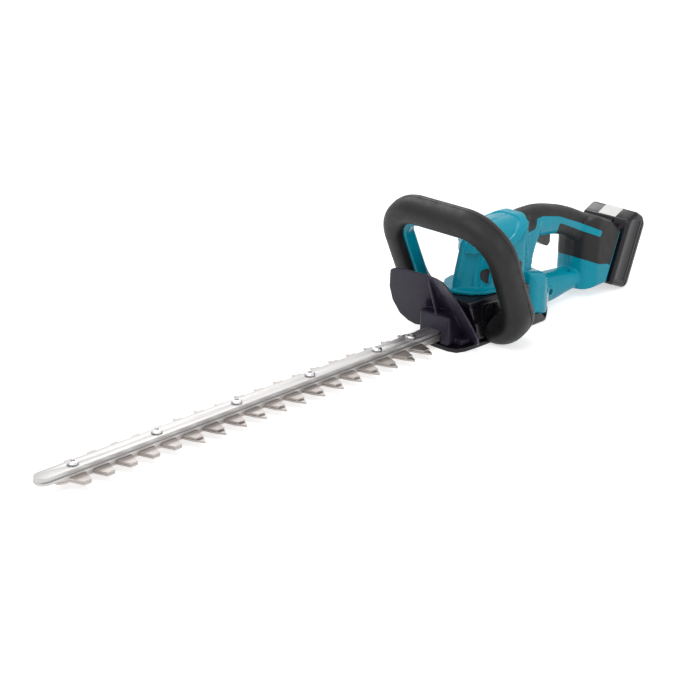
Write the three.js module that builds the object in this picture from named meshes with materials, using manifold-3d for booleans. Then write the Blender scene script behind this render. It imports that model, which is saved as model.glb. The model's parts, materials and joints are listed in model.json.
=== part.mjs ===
// Cordless hedge trimmer with a double-acting shear blade, in millimetres.
// +Z is up and the underside of the base plate is Z = 0. The blades point to -X,
// the battery is at +X, and the crank turns about the vertical line X = 0, Y = 0.
import * as THREE from 'three';
import { mergeVertices } from 'three/addons/utils/BufferGeometryUtils.js';
import Module from 'manifold-3d';

const wasm = await Module();
wasm.setup();

// ---- Fits ----
const seatGap = 0.3;         // between faces that touch
const runGap = 0.5;          // between a moving piece and its guide
const skinSteps = 2;         // facets in a rounded edge
const far = 400;             // past every piece, for tools that cut right through

// ---- Drive ----
const stroke = 10;           // each blade's full travel
const eccentricRadius = 12;
const gearModule = 1.5;
const gearTeeth = 36;
const pinionTeeth = 8;
const gearHeight = 8;
const crankShaftRadius = 6;
const motorShaftRadius = 2.5;
const motorRadius = 22;
const motorLength = 60;
const fanHeight = 9;
const bearingHeight = 6.5;
const bearingWall = 5;

// ---- Blades and guide bar ----
const bladeThickness = 2.2;
const bladeRise = 9.2;       // underside of the lower blade
const bladeHalfWidth = 10.4;
const toothPitch = 30;
const teethPerSide = 18;
const pointedPerSide = 13;   // the rest, near the nose, are blunt
const firstTooth = -117;
const toothRootHalf = 10.5;
const toothShoulderHalf = 7;
const toothShoulderReach = 22.5;
const pointReach = 34.5;
const bluntReach = 26.5;
const bladeNose = -656;
const eyeWall = 5;
const barNose = -672;
const barHalfWidth = 9.5;
const barLipHalf = 10.8;
const barLipHeight = 2.8;
const barHeight = 8;
const guideScrewPlaces = [-117, -176, -287, -400, -514, -625];
const guideShankRadius = 2.6;
const guideHeadRadius = 6.2;
const guideHeadHeight = 3.4;
const nutHeight = 4;
const nutAcross = 9;
const sleeveWall = 1.1;

// ---- Base plate and gear case ----
const baseThickness = 5;
const baseFront = -77;
const baseRear = 56;
const baseCorner = 15;
const caseHalfWidth = 40;
const baseHalfWidth = caseHalfWidth + 2;
const caseTop = 60;
const caseFootFront = -42;
const caseTopFront = -57;
const caseRear = 61;
const caseEdge = 5;
const caseFloorRoof = 9;     // thickness of the wall over the gears
const neckFront = -70;
const neckHalfWidth = 20;
const neckTop = 36;
const bumperHeight = 14;
const bumperRear = 119;
const bumperWall = 7;

// ---- Housing ----
const shellWall = 3;
const gripSkin = 2;
const podRear = 90;
const podHalfWidth = 36;
const podTop = 140;
const podShoulder = 26;      // curve between the crown and a flank
const noseLine = [[-42, 62], [-40, 78], [-28, 121]];   // front of the seam rib, [x, z]
const noseRib = 6;           // how far the seam rib stands in front of the pod
const noseRibHalf = 3.5;
const lipHeight = 5;
const lipReach = 2.5;
const tailRear = 121;
const tailHalfWidth = 40;
const gripHalfWidth = 17;
const gripEdge = 11;
const blockFront = 189;
const blockHalfWidth = 32;
const barrelStep = 3;        // how far the rim at the rear of the crown stands proud
const ridgeWidth = 5;
const ridgeHeight = 1.2;
const panelThickness = 0.9;
const panelFront = -14;
const panelRear = 48;
const panelLow = 71;
const panelHigh = 89;

// ---- Front handle ----
const loopLean = Math.atan(0.448); // forward lean from the vertical
const loopFoot = 5;                // X where the loop's plane meets Z = 0
const loopTop = 179.5;
const loopBottom = 20;
const loopTopRadius = 48;
const loopBottomRadius = 40;
const loopHalfWidth = caseHalfWidth + loopBottomRadius + 2;
const tubeAcross = 32;             // in the loop's plane
const tubeDepth = 36;              // across the loop's plane
const tubeWall = 3;
const footSpread = 0.32;           // extra depth at the foot, as a share of the tube's
const footSpreadTop = 78;
const leverWidth = 16;
const leverDepth = 12;
const leverProud = 5;
const leverTravel = 4;
const leverFoot = 62;
const loopSeam = 5;                // distance of the seam behind the loop's plane
const handleRest = 1;              // the handle's feet stay above Z = 0 by this

// ---- Hand guard ----
const guardThickness = 3;
const guardPlaneX = -24;
const guardLean = 0.65;
const guardSweep = 0.4;
const stemHalfWidth = 24;
const stemTop = 42;
const stemFront = -75;
const guardScrewPlaces = [[-57, -29], [-57, 29]];
const guardTabTop = 13;
const guardTabHalf = 5;

// ---- Battery ----
const mountTilt = Math.atan2(0.365, 0.931);
const mountFace = 213;             // distance of the mount face along its normal
const packSeam = 3;               // cover depth behind the mount face
const packBottom = 97;
const packTop = 199;
const packHalfWidth = 37.5;
const packEdge = 5;
const packWall = 2.4;
const railHalfWidth = 28;
const railNeckHalf = 24;
const railHeight = 9;
const railFlange = 3.3;
const railBottom = 106;
const railTop = 168;
const mountWall = 3;               // shell left behind the rail slots
const cellRadius = 8.8;
const cellLength = 65;
const cellPitch = 2 * cellRadius + seatGap;
const packDepth = 2 * (packWall + cellRadius + cellPitch / 2 + seatGap);
const stripThickness = 0.6;
const latchHalfWidth = 13;
const latchLow = 173;
const latchHigh = 181;
const latchProud = 3.5;
const latchDepth = 6;
const latchTravel = 3;
const latchWall = 1.6;
const terminalHalfWidth = 15;
const terminalLow = 116;
const terminalHigh = 138;
const terminalDepth = 10;
const bladeSpread = 8;             // terminal blades' distance from the middle
const bladeHalf = 0.6;
const bladeReach = 3;

// ---- Trigger and wiring ----
const triggerPivot = [110, 111];
const triggerHub = 3.8;
const triggerPin = 1.8;
const triggerHalfWidth = 8;
const triggerRear = 138;
const triggerTip = 82;
const triggerHeel = 3.5;           // the trigger's flat top below its pivot
const switchFront = 118;
const switchRear = 148;
const switchHalfWidth = 9;
const switchFloor = 114;
const switchRoof = 125.5;
const boardThickness = 1.6;
const leadRadius = 1.5;

// ---- Colours ----
const paint = (color, roughness, metalness = 0) =>
  new THREE.MeshStandardMaterial({ color, roughness, metalness });
const teal = paint(0x0a93a8, 0.38);
const charcoal = paint(0x3a3839, 0.72);
const black = paint(0x17151a, 0.35);
const smoke = paint(0x474253, 0.45);
const aluminium = paint(0xc9cacc, 0.35, 0.9);
const steel = paint(0xa9a29e, 0.32, 0.95);
const zinc = paint(0xb9bcc0, 0.4, 0.9);
const copper = paint(0xb06a3a, 0.4, 0.8);
const board = paint(0x2c6b45, 0.5);
const redWire = paint(0xb02a20, 0.5);
const blackWire = paint(0x1c1c1c, 0.5);
const cellWrap = paint(0x3f7fb0, 0.4);

// ---- Solids ----
function solid(geometry) {
  geometry.deleteAttribute('normal');
  geometry.deleteAttribute('uv');
  const merged = mergeVertices(geometry, 1e-4);
  const corners = merged.index.array;
  const kept = [];
  for (let i = 0; i < corners.length; i += 3) {
    const [a, b, c] = [corners[i], corners[i + 1], corners[i + 2]];
    if (a !== b && b !== c && c !== a) kept.push(a, b, c);
  }
  return new wasm.Manifold(new wasm.Mesh({
    numProp: 3,
    vertProperties: new Float32Array(merged.attributes.position.array),
    triVerts: new Uint32Array(kept),
  }));
}

const join = (first, ...rest) => rest.reduce((sum, next) => sum.add(next), first);
const cut = (first, ...rest) => rest.reduce((left, next) => left.subtract(next), first);

function moved(geometry, x, y, z) {
  return geometry.translate(x, y, z);
}

function box(x0, x1, y0, y1, z0, z1) {
  const geometry = new THREE.BoxGeometry(x1 - x0, y1 - y0, z1 - z0);
  return solid(moved(geometry, (x0 + x1) / 2, (y0 + y1) / 2, (z0 + z1) / 2));
}

// Upright cylinder from z0 to z1.
function post(x, y, radius, z0, z1, sides = 24) {
  const geometry = new THREE.CylinderGeometry(radius, radius, z1 - z0, sides);
  return solid(moved(geometry.rotateX(Math.PI / 2), x, y, (z0 + z1) / 2));
}

// Cylinder along Y from y0 to y1.
function pin(x, z, radius, y0, y1, sides = 16) {
  const geometry = new THREE.CylinderGeometry(radius, radius, y1 - y0, sides);
  return solid(moved(geometry, x, (y0 + y1) / 2, z));
}

function ring(x, y, outer, inner, z0, z1, sides = 24) {
  return post(x, y, outer, z0, z1, sides).subtract(post(x, y, inner, z0 - 1, z1 + 1, sides));
}

// Closed outline through corner points; each corner may be [x, y, radius]. Where the
// outline is to be drawn in by shrink, an outer corner's curve is kept wider than that.
function outline(corners, shrink = 0) {
  const points = corners.map(([x, y]) => new THREE.Vector2(x, y));
  const turnSign = Math.sign(THREE.ShapeUtils.area(points));
  const shape = new THREE.Shape();
  const count = corners.length;
  corners.forEach(([x, y, radius = 0], i) => {
    const here = points[i];
    const back = points[(i + count - 1) % count].clone().sub(here);
    const on = points[(i + 1) % count].clone().sub(here);
    const room = 0.48 * Math.min(back.length(), on.length());
    back.normalize();
    on.normalize();
    const halfAngle = Math.acos(THREE.MathUtils.clamp(back.dot(on), -1, 1)) / 2;
    const bend = Math.sin(halfAngle) ** 2 / Math.max(Math.cos(halfAngle), 1e-6);
    const convex = back.cross(on) * turnSign < 0;
    const least = convex && radius > 0 ? 1.15 * shrink / bend : 0;
    const wanted = Math.max(radius, least);
    const reach = least > room ? 0 : Math.min(wanted, room);
    const start = here.clone().addScaledVector(back, reach);
    const end = here.clone().addScaledVector(on, reach);
    if (i === 0) shape.moveTo(start.x, start.y);
    else shape.lineTo(start.x, start.y);
    if (reach > 0) shape.quadraticCurveTo(x, y, end.x, end.y);
  });
  shape.closePath();
  return shape;
}

// Side outline (x, z) thickened along Y to half each way, its long edges rounded.
function slab(corners, half, edge = 0, inset = 0, steps = 2) {
  const thick = half - inset;
  const hidden = inset > 0;
  const round = Math.min(Math.max(edge - inset, 0), thick * 0.8);
  const geometry = new THREE.ExtrudeGeometry(outline(corners, round + inset), {
    depth: 2 * (thick - round),
    curveSegments: hidden ? 2 : steps,
    bevelEnabled: round > 0 || inset !== 0,
    bevelThickness: Math.max(round, 0.01),
    bevelSize: round,
    bevelOffset: -round - inset,
    bevelSegments: hidden || round === 0 ? 1 : skinSteps,
  });
  geometry.translate(0, 0, round - thick);
  return solid(geometry.rotateX(Math.PI / 2));
}

// Plan outline (x, y) from z0 to z1.
function plate(corners, z0, z1, steps = 2) {
  const geometry = new THREE.ExtrudeGeometry(outline(corners), {
    depth: z1 - z0, curveSegments: steps, bevelEnabled: false,
  });
  return solid(moved(geometry, 0, 0, z0));
}

const mirrored = (half) => [...half, ...half.slice().reverse().map(([x, y, r]) => [x, -y, r])];

// Turned piece about a vertical line, from [radius, z] points that end on the axis.
function turned(profile, x = 0, y = 0, sides = 20) {
  const points = profile.map(([radius, z]) => new THREE.Vector2(radius, z));
  const geometry = new THREE.LatheGeometry(points, sides).rotateX(Math.PI / 2);
  return solid(moved(geometry, x, y, 0));
}

// Coil spring about the upright line through x, y; returned as geometry to be turned.
function coil(x, y, radius, wire, z0, z1, turns) {
  class Coil extends THREE.Curve {
    getPoint(t, target = new THREE.Vector3()) {
      const angle = 2 * Math.PI * turns * t;
      const z = z0 + wire + (z1 - z0 - 2 * wire) * t;
      return target.set(x + radius * Math.cos(angle), y + radius * Math.sin(angle), z);
    }
  }
  const section = new THREE.Shape();
  section.absarc(0, 0, wire, 0, 2 * Math.PI);
  return new THREE.ExtrudeGeometry(section, {
    steps: Math.round(turns * 8), curveSegments: 2, extrudePath: new Coil(), bevelEnabled: false,
  });
}

function lead(points, radius, steps = 14) {
  const route = new THREE.CatmullRomCurve3(points.map((p) => new THREE.Vector3(...p)));
  const section = new THREE.Shape();
  section.absarc(0, 0, radius, 0, 2 * Math.PI);
  return solid(new THREE.ExtrudeGeometry(section, {
    steps, curveSegments: 3, extrudePath: route, bevelEnabled: false,
  }));
}

// ---- Assembly ----
const trimmer = new THREE.Group();

function place(name, shape, material) {
  const { numProp, vertProperties, triVerts } = shape.getMesh();
  const positions = new Float32Array(vertProperties.length / numProp * 3);
  for (let i = 0; i < positions.length / 3; i += 1) {
    for (let k = 0; k < 3; k += 1) positions[3 * i + k] = vertProperties[numProp * i + k];
  }
  const geometry = new THREE.BufferGeometry();
  geometry.setAttribute('position', new THREE.BufferAttribute(positions, 3));
  geometry.setIndex(new THREE.BufferAttribute(triVerts, 1));
  geometry.computeVertexNormals();
  const mesh = new THREE.Mesh(geometry, material);
  mesh.name = name;
  trimmer.add(mesh);
}

// ---- Levels that follow from the drive ----
const eccentricity = stroke / 2;
const bladePitchZ = bladeThickness + seatGap;
const upperBladeRise = bladeRise + bladePitchZ;
const barBottom = upperBladeRise + bladePitchZ;
const barTop = barBottom + barHeight;
const gearBottom = barBottom + 1.6;
const gearTop = gearBottom + gearHeight;
const gearRadius = gearModule * gearTeeth / 2;
const pinionRadius = gearModule * pinionTeeth / 2;
const motorX = gearRadius + pinionRadius;
const eyeRadius = eccentricRadius + stroke + runGap;
const eyeRing = eyeRadius + eyeWall;
const cavityRadius = eyeRing + eccentricity + 1;
const cavityRoof = gearTop + 1;
const chamberFloor = cavityRoof + caseFloorRoof;
const fanBottom = chamberFloor + 1.5;
const motorBottom = fanBottom + fanHeight + 3;
const motorTop = motorBottom + motorLength;
const crankBearingOuter = crankShaftRadius + bearingWall;
const motorBearingOuter = motorShaftRadius + bearingWall;
const bearingTop = cavityRoof + bearingHeight;

// ---- Blades ----
function bladeOutline(upper) {
  const side = (sign, tipOf) => {
    const points = [];
    for (let i = teethPerSide - 1; i >= 0; i -= 1) {
      const pointed = i < pointedPerSide && !upper;
      const reach = pointed ? pointReach : bluntReach;
      const tip = pointed ? 0.8 : toothShoulderHalf * 0.7;
      const x = tipOf(i);
      const edge = [[toothRootHalf, bladeHalfWidth], [toothShoulderHalf, toothShoulderReach],
        [tip, reach]].filter((_, k) => pointed || k !== 1);
      points.push(...edge.map(([half, out]) => [x - half, out * sign]));
      points.push(...edge.reverse().map(([half, out]) => [x + half, out * sign]));
    }
    return points;
  };
  const near = side(-1, (i) => firstTooth - i * toothPitch);
  const far = side(1, (i) => firstTooth + toothPitch / 2 - i * toothPitch).reverse();
  const noseX = bladeNose + eccentricity;
  return [
    [noseX, -bladeHalfWidth * 0.6, 3], [noseX + 6, -bladeHalfWidth, 3], ...near,
    [0, -bladeHalfWidth], [0, bladeHalfWidth], ...far,
    [noseX + 6, bladeHalfWidth, 3], [noseX, bladeHalfWidth * 0.6, 3],
  ];
}

const sleeveRadius = guideShankRadius + sleeveWall;

function bladeSlot(x, z0, z1) {
  const half = sleeveRadius + runGap;
  const reach = eccentricity + half;
  return box(x - reach, x + reach, -half, half, z0 - 1, z1 + 1);
}

function blade(name, z0, upper) {
  const z1 = z0 + bladeThickness;
  const slots = guideScrewPlaces.map((x) => bladeSlot(x, z0, z1));
  const body = join(plate(bladeOutline(upper), z0, z1, 2), post(0, 0, eyeRing, z0, z1, 36));
  place(name, cut(body, post(0, 0, eyeRadius, z0 - 1, z1 + 1, 32), ...slots), steel);
}
blade('lower_blade', bladeRise, false);
blade('upper_blade', upperBladeRise, true);

// ---- Guide bar with its screws ----
const barRear = -cavityRadius - 1;
const barProfile = (half, z0, z1) => plate([
  [barNose, -half * 0.55, 5], [barNose + 7, -half, 4], [barRear, -half],
  [barRear, half], [barNose + 7, half, 4], [barNose, half * 0.55, 5],
], z0, z1);
const grooveBottom = barBottom + barLipHeight;
const grooveHeight = 1.6;
const guideBar = cut(
  join(
    barProfile(barLipHalf, barBottom, grooveBottom),
    barProfile(barHalfWidth - 1, grooveBottom - 0.1, grooveBottom + grooveHeight + 0.1),
    barProfile(barHalfWidth, grooveBottom + grooveHeight, barTop),
  ),
  ...guideScrewPlaces.map((x) => post(x, 0, guideShankRadius + seatGap, 0, barTop + 5, 10)),
);
place('guide_bar', guideBar, aluminium);

const nutTop = bladeRise - seatGap;
guideScrewPlaces.forEach((x, i) => {
  const headFoot = barTop + seatGap;
  const shankFoot = nutTop - nutHeight;
  place(`guide_screw_${i + 1}`, turned([
    [0, shankFoot], [guideShankRadius, shankFoot], [guideShankRadius, headFoot],
    [guideHeadRadius, headFoot], [guideHeadRadius, headFoot + guideHeadHeight * 0.35],
    [guideHeadRadius * 0.72, headFoot + guideHeadHeight * 0.85], [0, headFoot + guideHeadHeight],
  ], x, 0, 12), zinc);
  const bore = guideShankRadius + seatGap;
  const nut = join(
    post(x, 0, nutAcross / 2 / Math.cos(Math.PI / 6), nutTop - nutHeight, nutTop, 6),
    post(x, 0, sleeveRadius, nutTop - 0.5, barBottom - seatGap, 10),
  );
  place(`guide_nut_${i + 1}`, cut(nut, post(x, 0, bore, 0, barTop, 10)), zinc);
});

// ---- Crank gear, motor rotor and what carries them ----
// Teeth are narrower than their spaces and stop just past the pitch line.
function gearWheel(x, teeth, z0, z1, phase) {
  const pitch = gearModule * teeth / 2;
  const [tip, root] = [pitch + 0.35 * gearModule, pitch - 0.75 * gearModule];
  const step = 2 * Math.PI / teeth;
  const points = [];
  for (let i = 0; i < teeth; i += 1) {
    const at = (radius, share) => {
      const angle = phase + step * (i + share);
      return [x + radius * Math.cos(angle), radius * Math.sin(angle)];
    };
    points.push(at(root, -0.28), at(tip, -0.12), at(tip, 0.12), at(root, 0.28));
  }
  return plate(points, z0, z1);
}

const crankFoot = bladeRise - 0.4;
const lowerStubRadius = 5;
const splitZ = upperBladeRise - seatGap / 2;
place('crank_gear', join(
  gearWheel(0, gearTeeth, gearBottom, gearTop, Math.PI / gearTeeth),
  post(0, 0, crankShaftRadius, gearTop - 1, bearingTop, 20),
  post(eccentricity, 0, eccentricRadius, splitZ, gearBottom + 0.5, 28),
  post(-eccentricity, 0, eccentricRadius, crankFoot, splitZ + 0.01, 28),
  post(0, 0, lowerStubRadius, baseThickness - 2, crankFoot + 0.5, 20),
), steel);
place('crank_bearing_upper',
  ring(0, 0, crankBearingOuter, crankShaftRadius + seatGap, cavityRoof + seatGap, bearingTop), zinc);
place('crank_bearing_lower',
  ring(0, 0, lowerStubRadius + 3, lowerStubRadius + seatGap, baseThickness - 2, crankFoot - seatGap),
  zinc);
place('motor_bearing', ring(motorX, 0, motorBearingOuter, motorShaftRadius + seatGap,
  cavityRoof + seatGap, bearingTop, 20), zinc);

const armatureRadius = motorRadius - 6.5;
place('motor_rotor', join(
  gearWheel(motorX, pinionTeeth, gearBottom, gearTop, 0),
  post(motorX, 0, motorShaftRadius, gearTop - 1, motorTop + 3, 16),
  post(motorX, 0, armatureRadius, motorBottom + 10, motorTop - 16, 24),
  post(motorX, 0, armatureRadius * 0.55, motorTop - 16.5, motorTop - 8, 16),
), copper);

const canBore = motorShaftRadius + runGap;
place('motor_can', cut(
  post(motorX, 0, motorRadius, motorBottom, motorTop, 28),
  post(motorX, 0, motorRadius - 4, motorBottom + 4, motorTop - 4, 28),
  post(motorX, 0, canBore, motorBottom - 1, motorTop + 1, 16),
), zinc);

function fanWheel() {
  const hub = ring(motorX, 0, 7, motorShaftRadius + seatGap, fanBottom, fanBottom + fanHeight, 12);
  const disc = ring(motorX, 0, motorRadius - 3, 6, fanBottom, fanBottom + 1.4, 24);
  const vanes = [];
  for (let i = 0; i < 8; i += 1) {
    const vane = new THREE.BoxGeometry(motorRadius - 10, 1.4, fanHeight);
    vane.translate((motorRadius + 3) / 2, 0, fanBottom + fanHeight / 2);
    vane.rotateZ(i * Math.PI / 4);
    vanes.push(solid(moved(vane, motorX, 0, 0)));
  }
  return join(hub, disc, ...vanes);
}
place('cooling_fan', fanWheel(), black);

// ---- Gear case and base plate ----
const chamberRadius = motorRadius + runGap;
const motorSeat = motorBottom - seatGap;
const caseSide = [
  [caseFootFront, baseThickness + seatGap], [caseFootFront, 24], [caseTopFront, caseTop - 6, 4],
  [caseTopFront + 3, caseTop, 3], [caseRear, caseTop, 3], [caseRear, baseThickness + seatGap],
];
const frontScrewY = caseHalfWidth - 3.7;
const rearScrewY = caseHalfWidth - 7;
const caseScrewPlaces = [
  [-14, frontScrewY], [50, rearScrewY], [-14, -frontScrewY], [50, -rearScrewY],
];
const screwShank = 2;
const screwHead = 3.8;
const screwHeadHeight = 2.2;

const barTunnel = box(neckFront - far, 0, -barLipHalf - seatGap, barLipHalf + seatGap,
  -far, barTop + seatGap);

const gearCase = cut(
  join(
    slab(caseSide, caseHalfWidth, caseEdge, 0, 3),
    box(neckFront, caseFootFront + 2, -neckHalfWidth, neckHalfWidth, baseThickness + seatGap, neckTop),
  ),
  post(0, 0, cavityRadius, 0, cavityRoof, 36),
  post(motorX, 0, pinionRadius + 2.5, 0, cavityRoof, 20),
  barTunnel,
  ring(0, 0, crankBearingOuter + seatGap, 0.5, cavityRoof - 1, chamberFloor + 1),
  post(0, 0, 1, cavityRoof - 1, chamberFloor + 1, 12),
  post(motorX, 0, motorBearingOuter + seatGap, cavityRoof - 1, bearingTop, 20),
  post(motorX, 0, motorShaftRadius + 1, cavityRoof, chamberFloor + 1, 12),
  post(motorX, 0, motorRadius - 1.5, chamberFloor, motorSeat + 1, 28),
  post(motorX, 0, chamberRadius, motorSeat, caseTop + 1, 28),
  ...caseScrewPlaces.map(([x, y]) => post(x, y, screwShank + seatGap, 0, 24, 10)),
);
place('gear_case', gearCase, black);

const baseCorners = mirrored([
  [baseFront, -baseHalfWidth + 3, baseCorner], [baseFront + 40, -baseHalfWidth, 10],
  [baseRear, -baseHalfWidth],
]);
const baseScrewPlaces = [...caseScrewPlaces, ...guardScrewPlaces];
const bossRadius = lowerStubRadius + 3 + seatGap;
place('base_plate', cut(
  join(
    plate(baseCorners, 0, baseThickness),
    post(0, 0, bossRadius + 2, baseThickness - 1, crankFoot - seatGap, 24),
  ),
  post(0, 0, bossRadius, baseThickness - 2 - seatGap, crankFoot + 1, 24),
  ...baseScrewPlaces.map(([x, y]) => post(x, y, screwShank + seatGap, -1, 20, 10)),
  ...baseScrewPlaces.map(([x, y]) => post(x, y, screwHead + seatGap, -1, screwHeadHeight + 1, 12)),
), black);

// Screw driven up through the base plate, its head sunk in the plate.
function baseScrew(x, y, end) {
  const z = screwHeadHeight + 1 - seatGap;
  return turned([
    [0, z - screwHeadHeight], [screwHead, z - screwHeadHeight], [screwHead, z],
    [screwShank, z], [screwShank, end], [0, end],
  ], x, y, 10);
}
caseScrewPlaces.forEach(([x, y], i) => {
  place(`case_screw_${i + 1}`, baseScrew(x, y, 22), zinc);
});

// The bumper wraps the rear of the base; the housing's hem follows its wavy rim.
const rimLow = 4;
const rimAt = (lift) => [
  [78, bumperHeight + lift, 4], [85, 11 + lift, 4], [91, rimLow + lift, 3],
  [97, rimLow + lift, 3], [103, 9 + lift, 4],
];
const bumperPlan = (grow) => mirrored([
  [baseRear + seatGap, -baseHalfWidth - grow], [92, -baseHalfWidth - grow, 14],
  [bumperRear + grow, -24 - grow, 12],
]);
const bumperSide = [
  [baseRear, 0], [baseRear, bumperHeight, 0], ...rimAt(0), [bumperRear + 9, 9], [bumperRear + 9, 0],
];
place('rear_bumper', cut(
  plate(bumperPlan(0), 0, bumperHeight + 2).intersect(slab(bumperSide, baseHalfWidth + 9)),
  plate(mirrored([
    [caseRear + 6, -baseHalfWidth + bumperWall], [88, -baseHalfWidth + bumperWall, 10],
    [bumperRear - bumperWall, -20, 8],
  ]), 4, bumperHeight + 9),
  box(baseRear - 1, caseRear + seatGap, -baseHalfWidth, baseHalfWidth, baseThickness, 30),
), charcoal);

// ---- Housing ----
const noseAt = (back) => noseLine.map(([x, z]) => [x + back, z]);
const podSide = [
  [noseLine[0][0] + noseRib, caseTop + seatGap], ...noseAt(noseRib).slice(1),
  [noseLine[2][0] + noseRib + 12, podTop - 7, 14], [20, podTop, 20],
  [podRear - 3, podTop, 8], [podRear, podTop - 20, 6], [podRear, caseTop + seatGap],
];
const podRearPlan = (grow) => mirrored([
  [-100, -podHalfWidth - grow], [54, -podHalfWidth - grow, 16],
  [podRear + 2 + grow, -gripHalfWidth + 2 - grow, 12],
]);
const [, noseLow, noseHigh] = noseAt(noseRib);
const noseSlope = (noseHigh[0] - noseLow[0]) / (noseHigh[1] - noseLow[1]);

// The nose's plan, which leans back with the seam rib as it rises.
function nose(grow) {
  const geometry = new THREE.ExtrudeGeometry(outline(mirrored([
    [noseLow[0] - grow, -3 - 0.4 * grow, 3], [noseLow[0] + 9 - 0.8 * grow, -13 - 0.8 * grow, 10],
    [noseLow[0] + 26 - 0.5 * grow, -29 - grow, 14], [noseLow[0] + 45, -podHalfWidth - grow, 10],
    [200, -podHalfWidth - grow],
  ])), { depth: podTop, curveSegments: 2, bevelEnabled: false });
  const places = geometry.attributes.position;
  for (let i = 0; i < places.count; i += 1) {
    const z = places.getZ(i) + caseTop - 30;
    places.setXYZ(i, places.getX(i) + noseSlope * (z - noseLow[1]), places.getY(i), z);
  }
  return solid(geometry);
}

// Front outline (y, z) run along X from x0 to x1.
function arch(corners, x0, x1) {
  const geometry = new THREE.ExtrudeGeometry(outline(corners), {
    depth: x1 - x0, curveSegments: 3, bevelEnabled: false,
  });
  return solid(moved(geometry.rotateX(Math.PI / 2).rotateZ(Math.PI / 2), x0, 0, 0));
}

const crown = (grow) => {
  const [half, top] = [podHalfWidth + grow, podTop + grow];
  const right = [[half, 0], [half, top - 14, podShoulder], [half - 22, top, podShoulder]];
  return arch([...right, ...right.slice().reverse().map(([y, z, r]) => [-y, z, r])], -100, 200);
};
const pod = (inset) => slab(podSide, podHalfWidth + 10, 0, inset, 3)
  .intersect(nose(-inset)).intersect(plate(podRearPlan(-inset), -5, podTop + 20))
  .intersect(crown(-inset));

const tailSide = [
  [caseRear + seatGap, 62], [caseRear + seatGap, rimLow + seatGap],
  [tailRear - 4, rimLow + seatGap, 3], [tailRear + 8, 14, 6], [tailRear + 5, 34, 14], [94, 53, 14],
];
const underHem = slab([
  [0, -20], [0, bumperHeight + seatGap], ...rimAt(seatGap),
  [bumperRear + seatGap, 9 + seatGap], [bumperRear + seatGap, -20],
], 90);
const tailPlan = (grow) => mirrored([
  [caseRear - 20, -tailHalfWidth - grow], [96, -tailHalfWidth - grow, 16],
  [tailRear + 4 + grow, -gripHalfWidth - 1 - grow, 10], [tailRear + 16, -gripHalfWidth - 1 - grow],
]);
const tail = (inset) => slab(tailSide, tailHalfWidth, 9, inset)
  .intersect(plate(tailPlan(-inset), -5, podTop));

const alongMount = (s, t) => [
  s * Math.cos(mountTilt) + t * Math.sin(mountTilt),
  t * Math.cos(mountTilt) - s * Math.sin(mountTilt),
];
const mountLine = mountFace - seatGap;
const handleSide = [
  [55, 60], [55, 139.5], [88, 142, 6], [112, 141, 20], [140, 136, 24], [174, 126.5, 24],
  [206, 112.5, 20], [240, 98, 14], [...alongMount(mountLine, 170), 5],
  alongMount(mountLine, 97), [205, 12, 14], [172, 8, 20], [150, 4, 12], [104, 5],
];
const windowCorners = [
  [89, 52, 4], [112, 48, 14], [150, 43, 20], [blockFront - 5, 39, 6], [blockFront + 1, 79, 8],
  [166, 89, 8], [154, 94, 6], [99, 101, 6], [90, 70, 10],
];
const blockPlan = (grow) => mirrored([
  [blockFront - grow, -8 - grow, 4], [blockFront + 4 - grow, -22 - grow, 14],
  [blockFront + 20, -blockHalfWidth - grow, 12], [300, -blockHalfWidth - 3 - grow],
]);
const gripBody = (inset) => join(
  slab(handleSide, gripHalfWidth, gripEdge, inset),
  slab(handleSide, blockHalfWidth + 2, gripEdge, inset).intersect(plate(blockPlan(-inset), -far, far)),
).subtract(slab(windowCorners, far, 0, -inset));
// Rear rim of the pod's crown: behind and below it the pod steps in.
const crownRim = [
  [-90, 105], [-20, 108], [16, 113.5, 10], [40, 121, 12], [62, 131, 12], [82, 139, 8],
  [podRear + 6, 142], [podRear + 6, 190], [-90, 190],
];
const barrel = (inset) => pod(inset).intersect(slab(crownRim, far, 0, inset));
const dome = (inset) => join(
  barrel(inset), pod(inset + barrelStep), tail(inset), gripBody(inset));

const lipFront = noseLine[0][0] - lipReach;
const lipPlan = mirrored([
  [lipFront, -3, 2], [lipFront + 9, -22, 8], [lipFront + 25, -34, 10],
  [-4, -podHalfWidth - 1.5, 8], [14, -podHalfWidth],
]);
const noseSide = [
  ...noseLine, [noseLine[2][0] + 14, podTop - 4, 12], [10, podTop + 1, 8],
  [40, podTop + 1, 4], [40, 100], [0, noseLine[0][1]],
];

const rimInner = crownRim.map(([x, z, r = 0]) => [x - ridgeWidth * 0.6, z + ridgeWidth, r]);
const ridge = cut(barrel(-ridgeHeight), pod(1), slab(rimInner, far));

const bossPlace = [129, 24];
const bossRing = 7.5;
const bossProud = 3;
const screwBoss = 5.5;
const housingScrewHead = 3.6;
const screwHeadDepth = 6;
const screwEnd = -13.7;
// Each [x, z, side the head is on, distance of its seat from the middle].
const housingScrews = [
  [...bossPlace, -1, gripHalfWidth + bossProud - screwHeadDepth], [78, 84, 1, 14], [-4, 112, 1, 14],
  [158, 110, 1, 9], [206, 34, 1, 14],
];
const bosses = housingScrews.map(([x, z], i) => (
  pin(x, z, i === 0 ? bossRing : screwBoss, -far, far, 20)));

// The two skinned areas of the grip: over the top and rear, down to the inlay.
const skinEdge = [
  [75, 160], [75, 118, 3], [78, 115.5, 2], [92, 116.5, 3], [97, 129, 4], [110, 129.5, 8],
  [142, 122.5, 10], [186, 104.5, 8], [216, 89.5, 2], [212, 82, 2], [187, 93.5, 6], [160, 106, 4],
  [143, 113, 3], [143.5, 80], [165, 66], [186, 56.5, 6], [213, 45, 10], [230, 42, 8],
  alongMount(mountFace - 7, 122), alongMount(mountFace - 7, 230), [75, 230],
];
const skinShape = (grow) => slab(skinEdge, far, 0, -grow);
const skinZone = (grow) => skinShape(grow).subtract(barrel(-ridgeHeight - 0.4 + grow));

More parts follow.
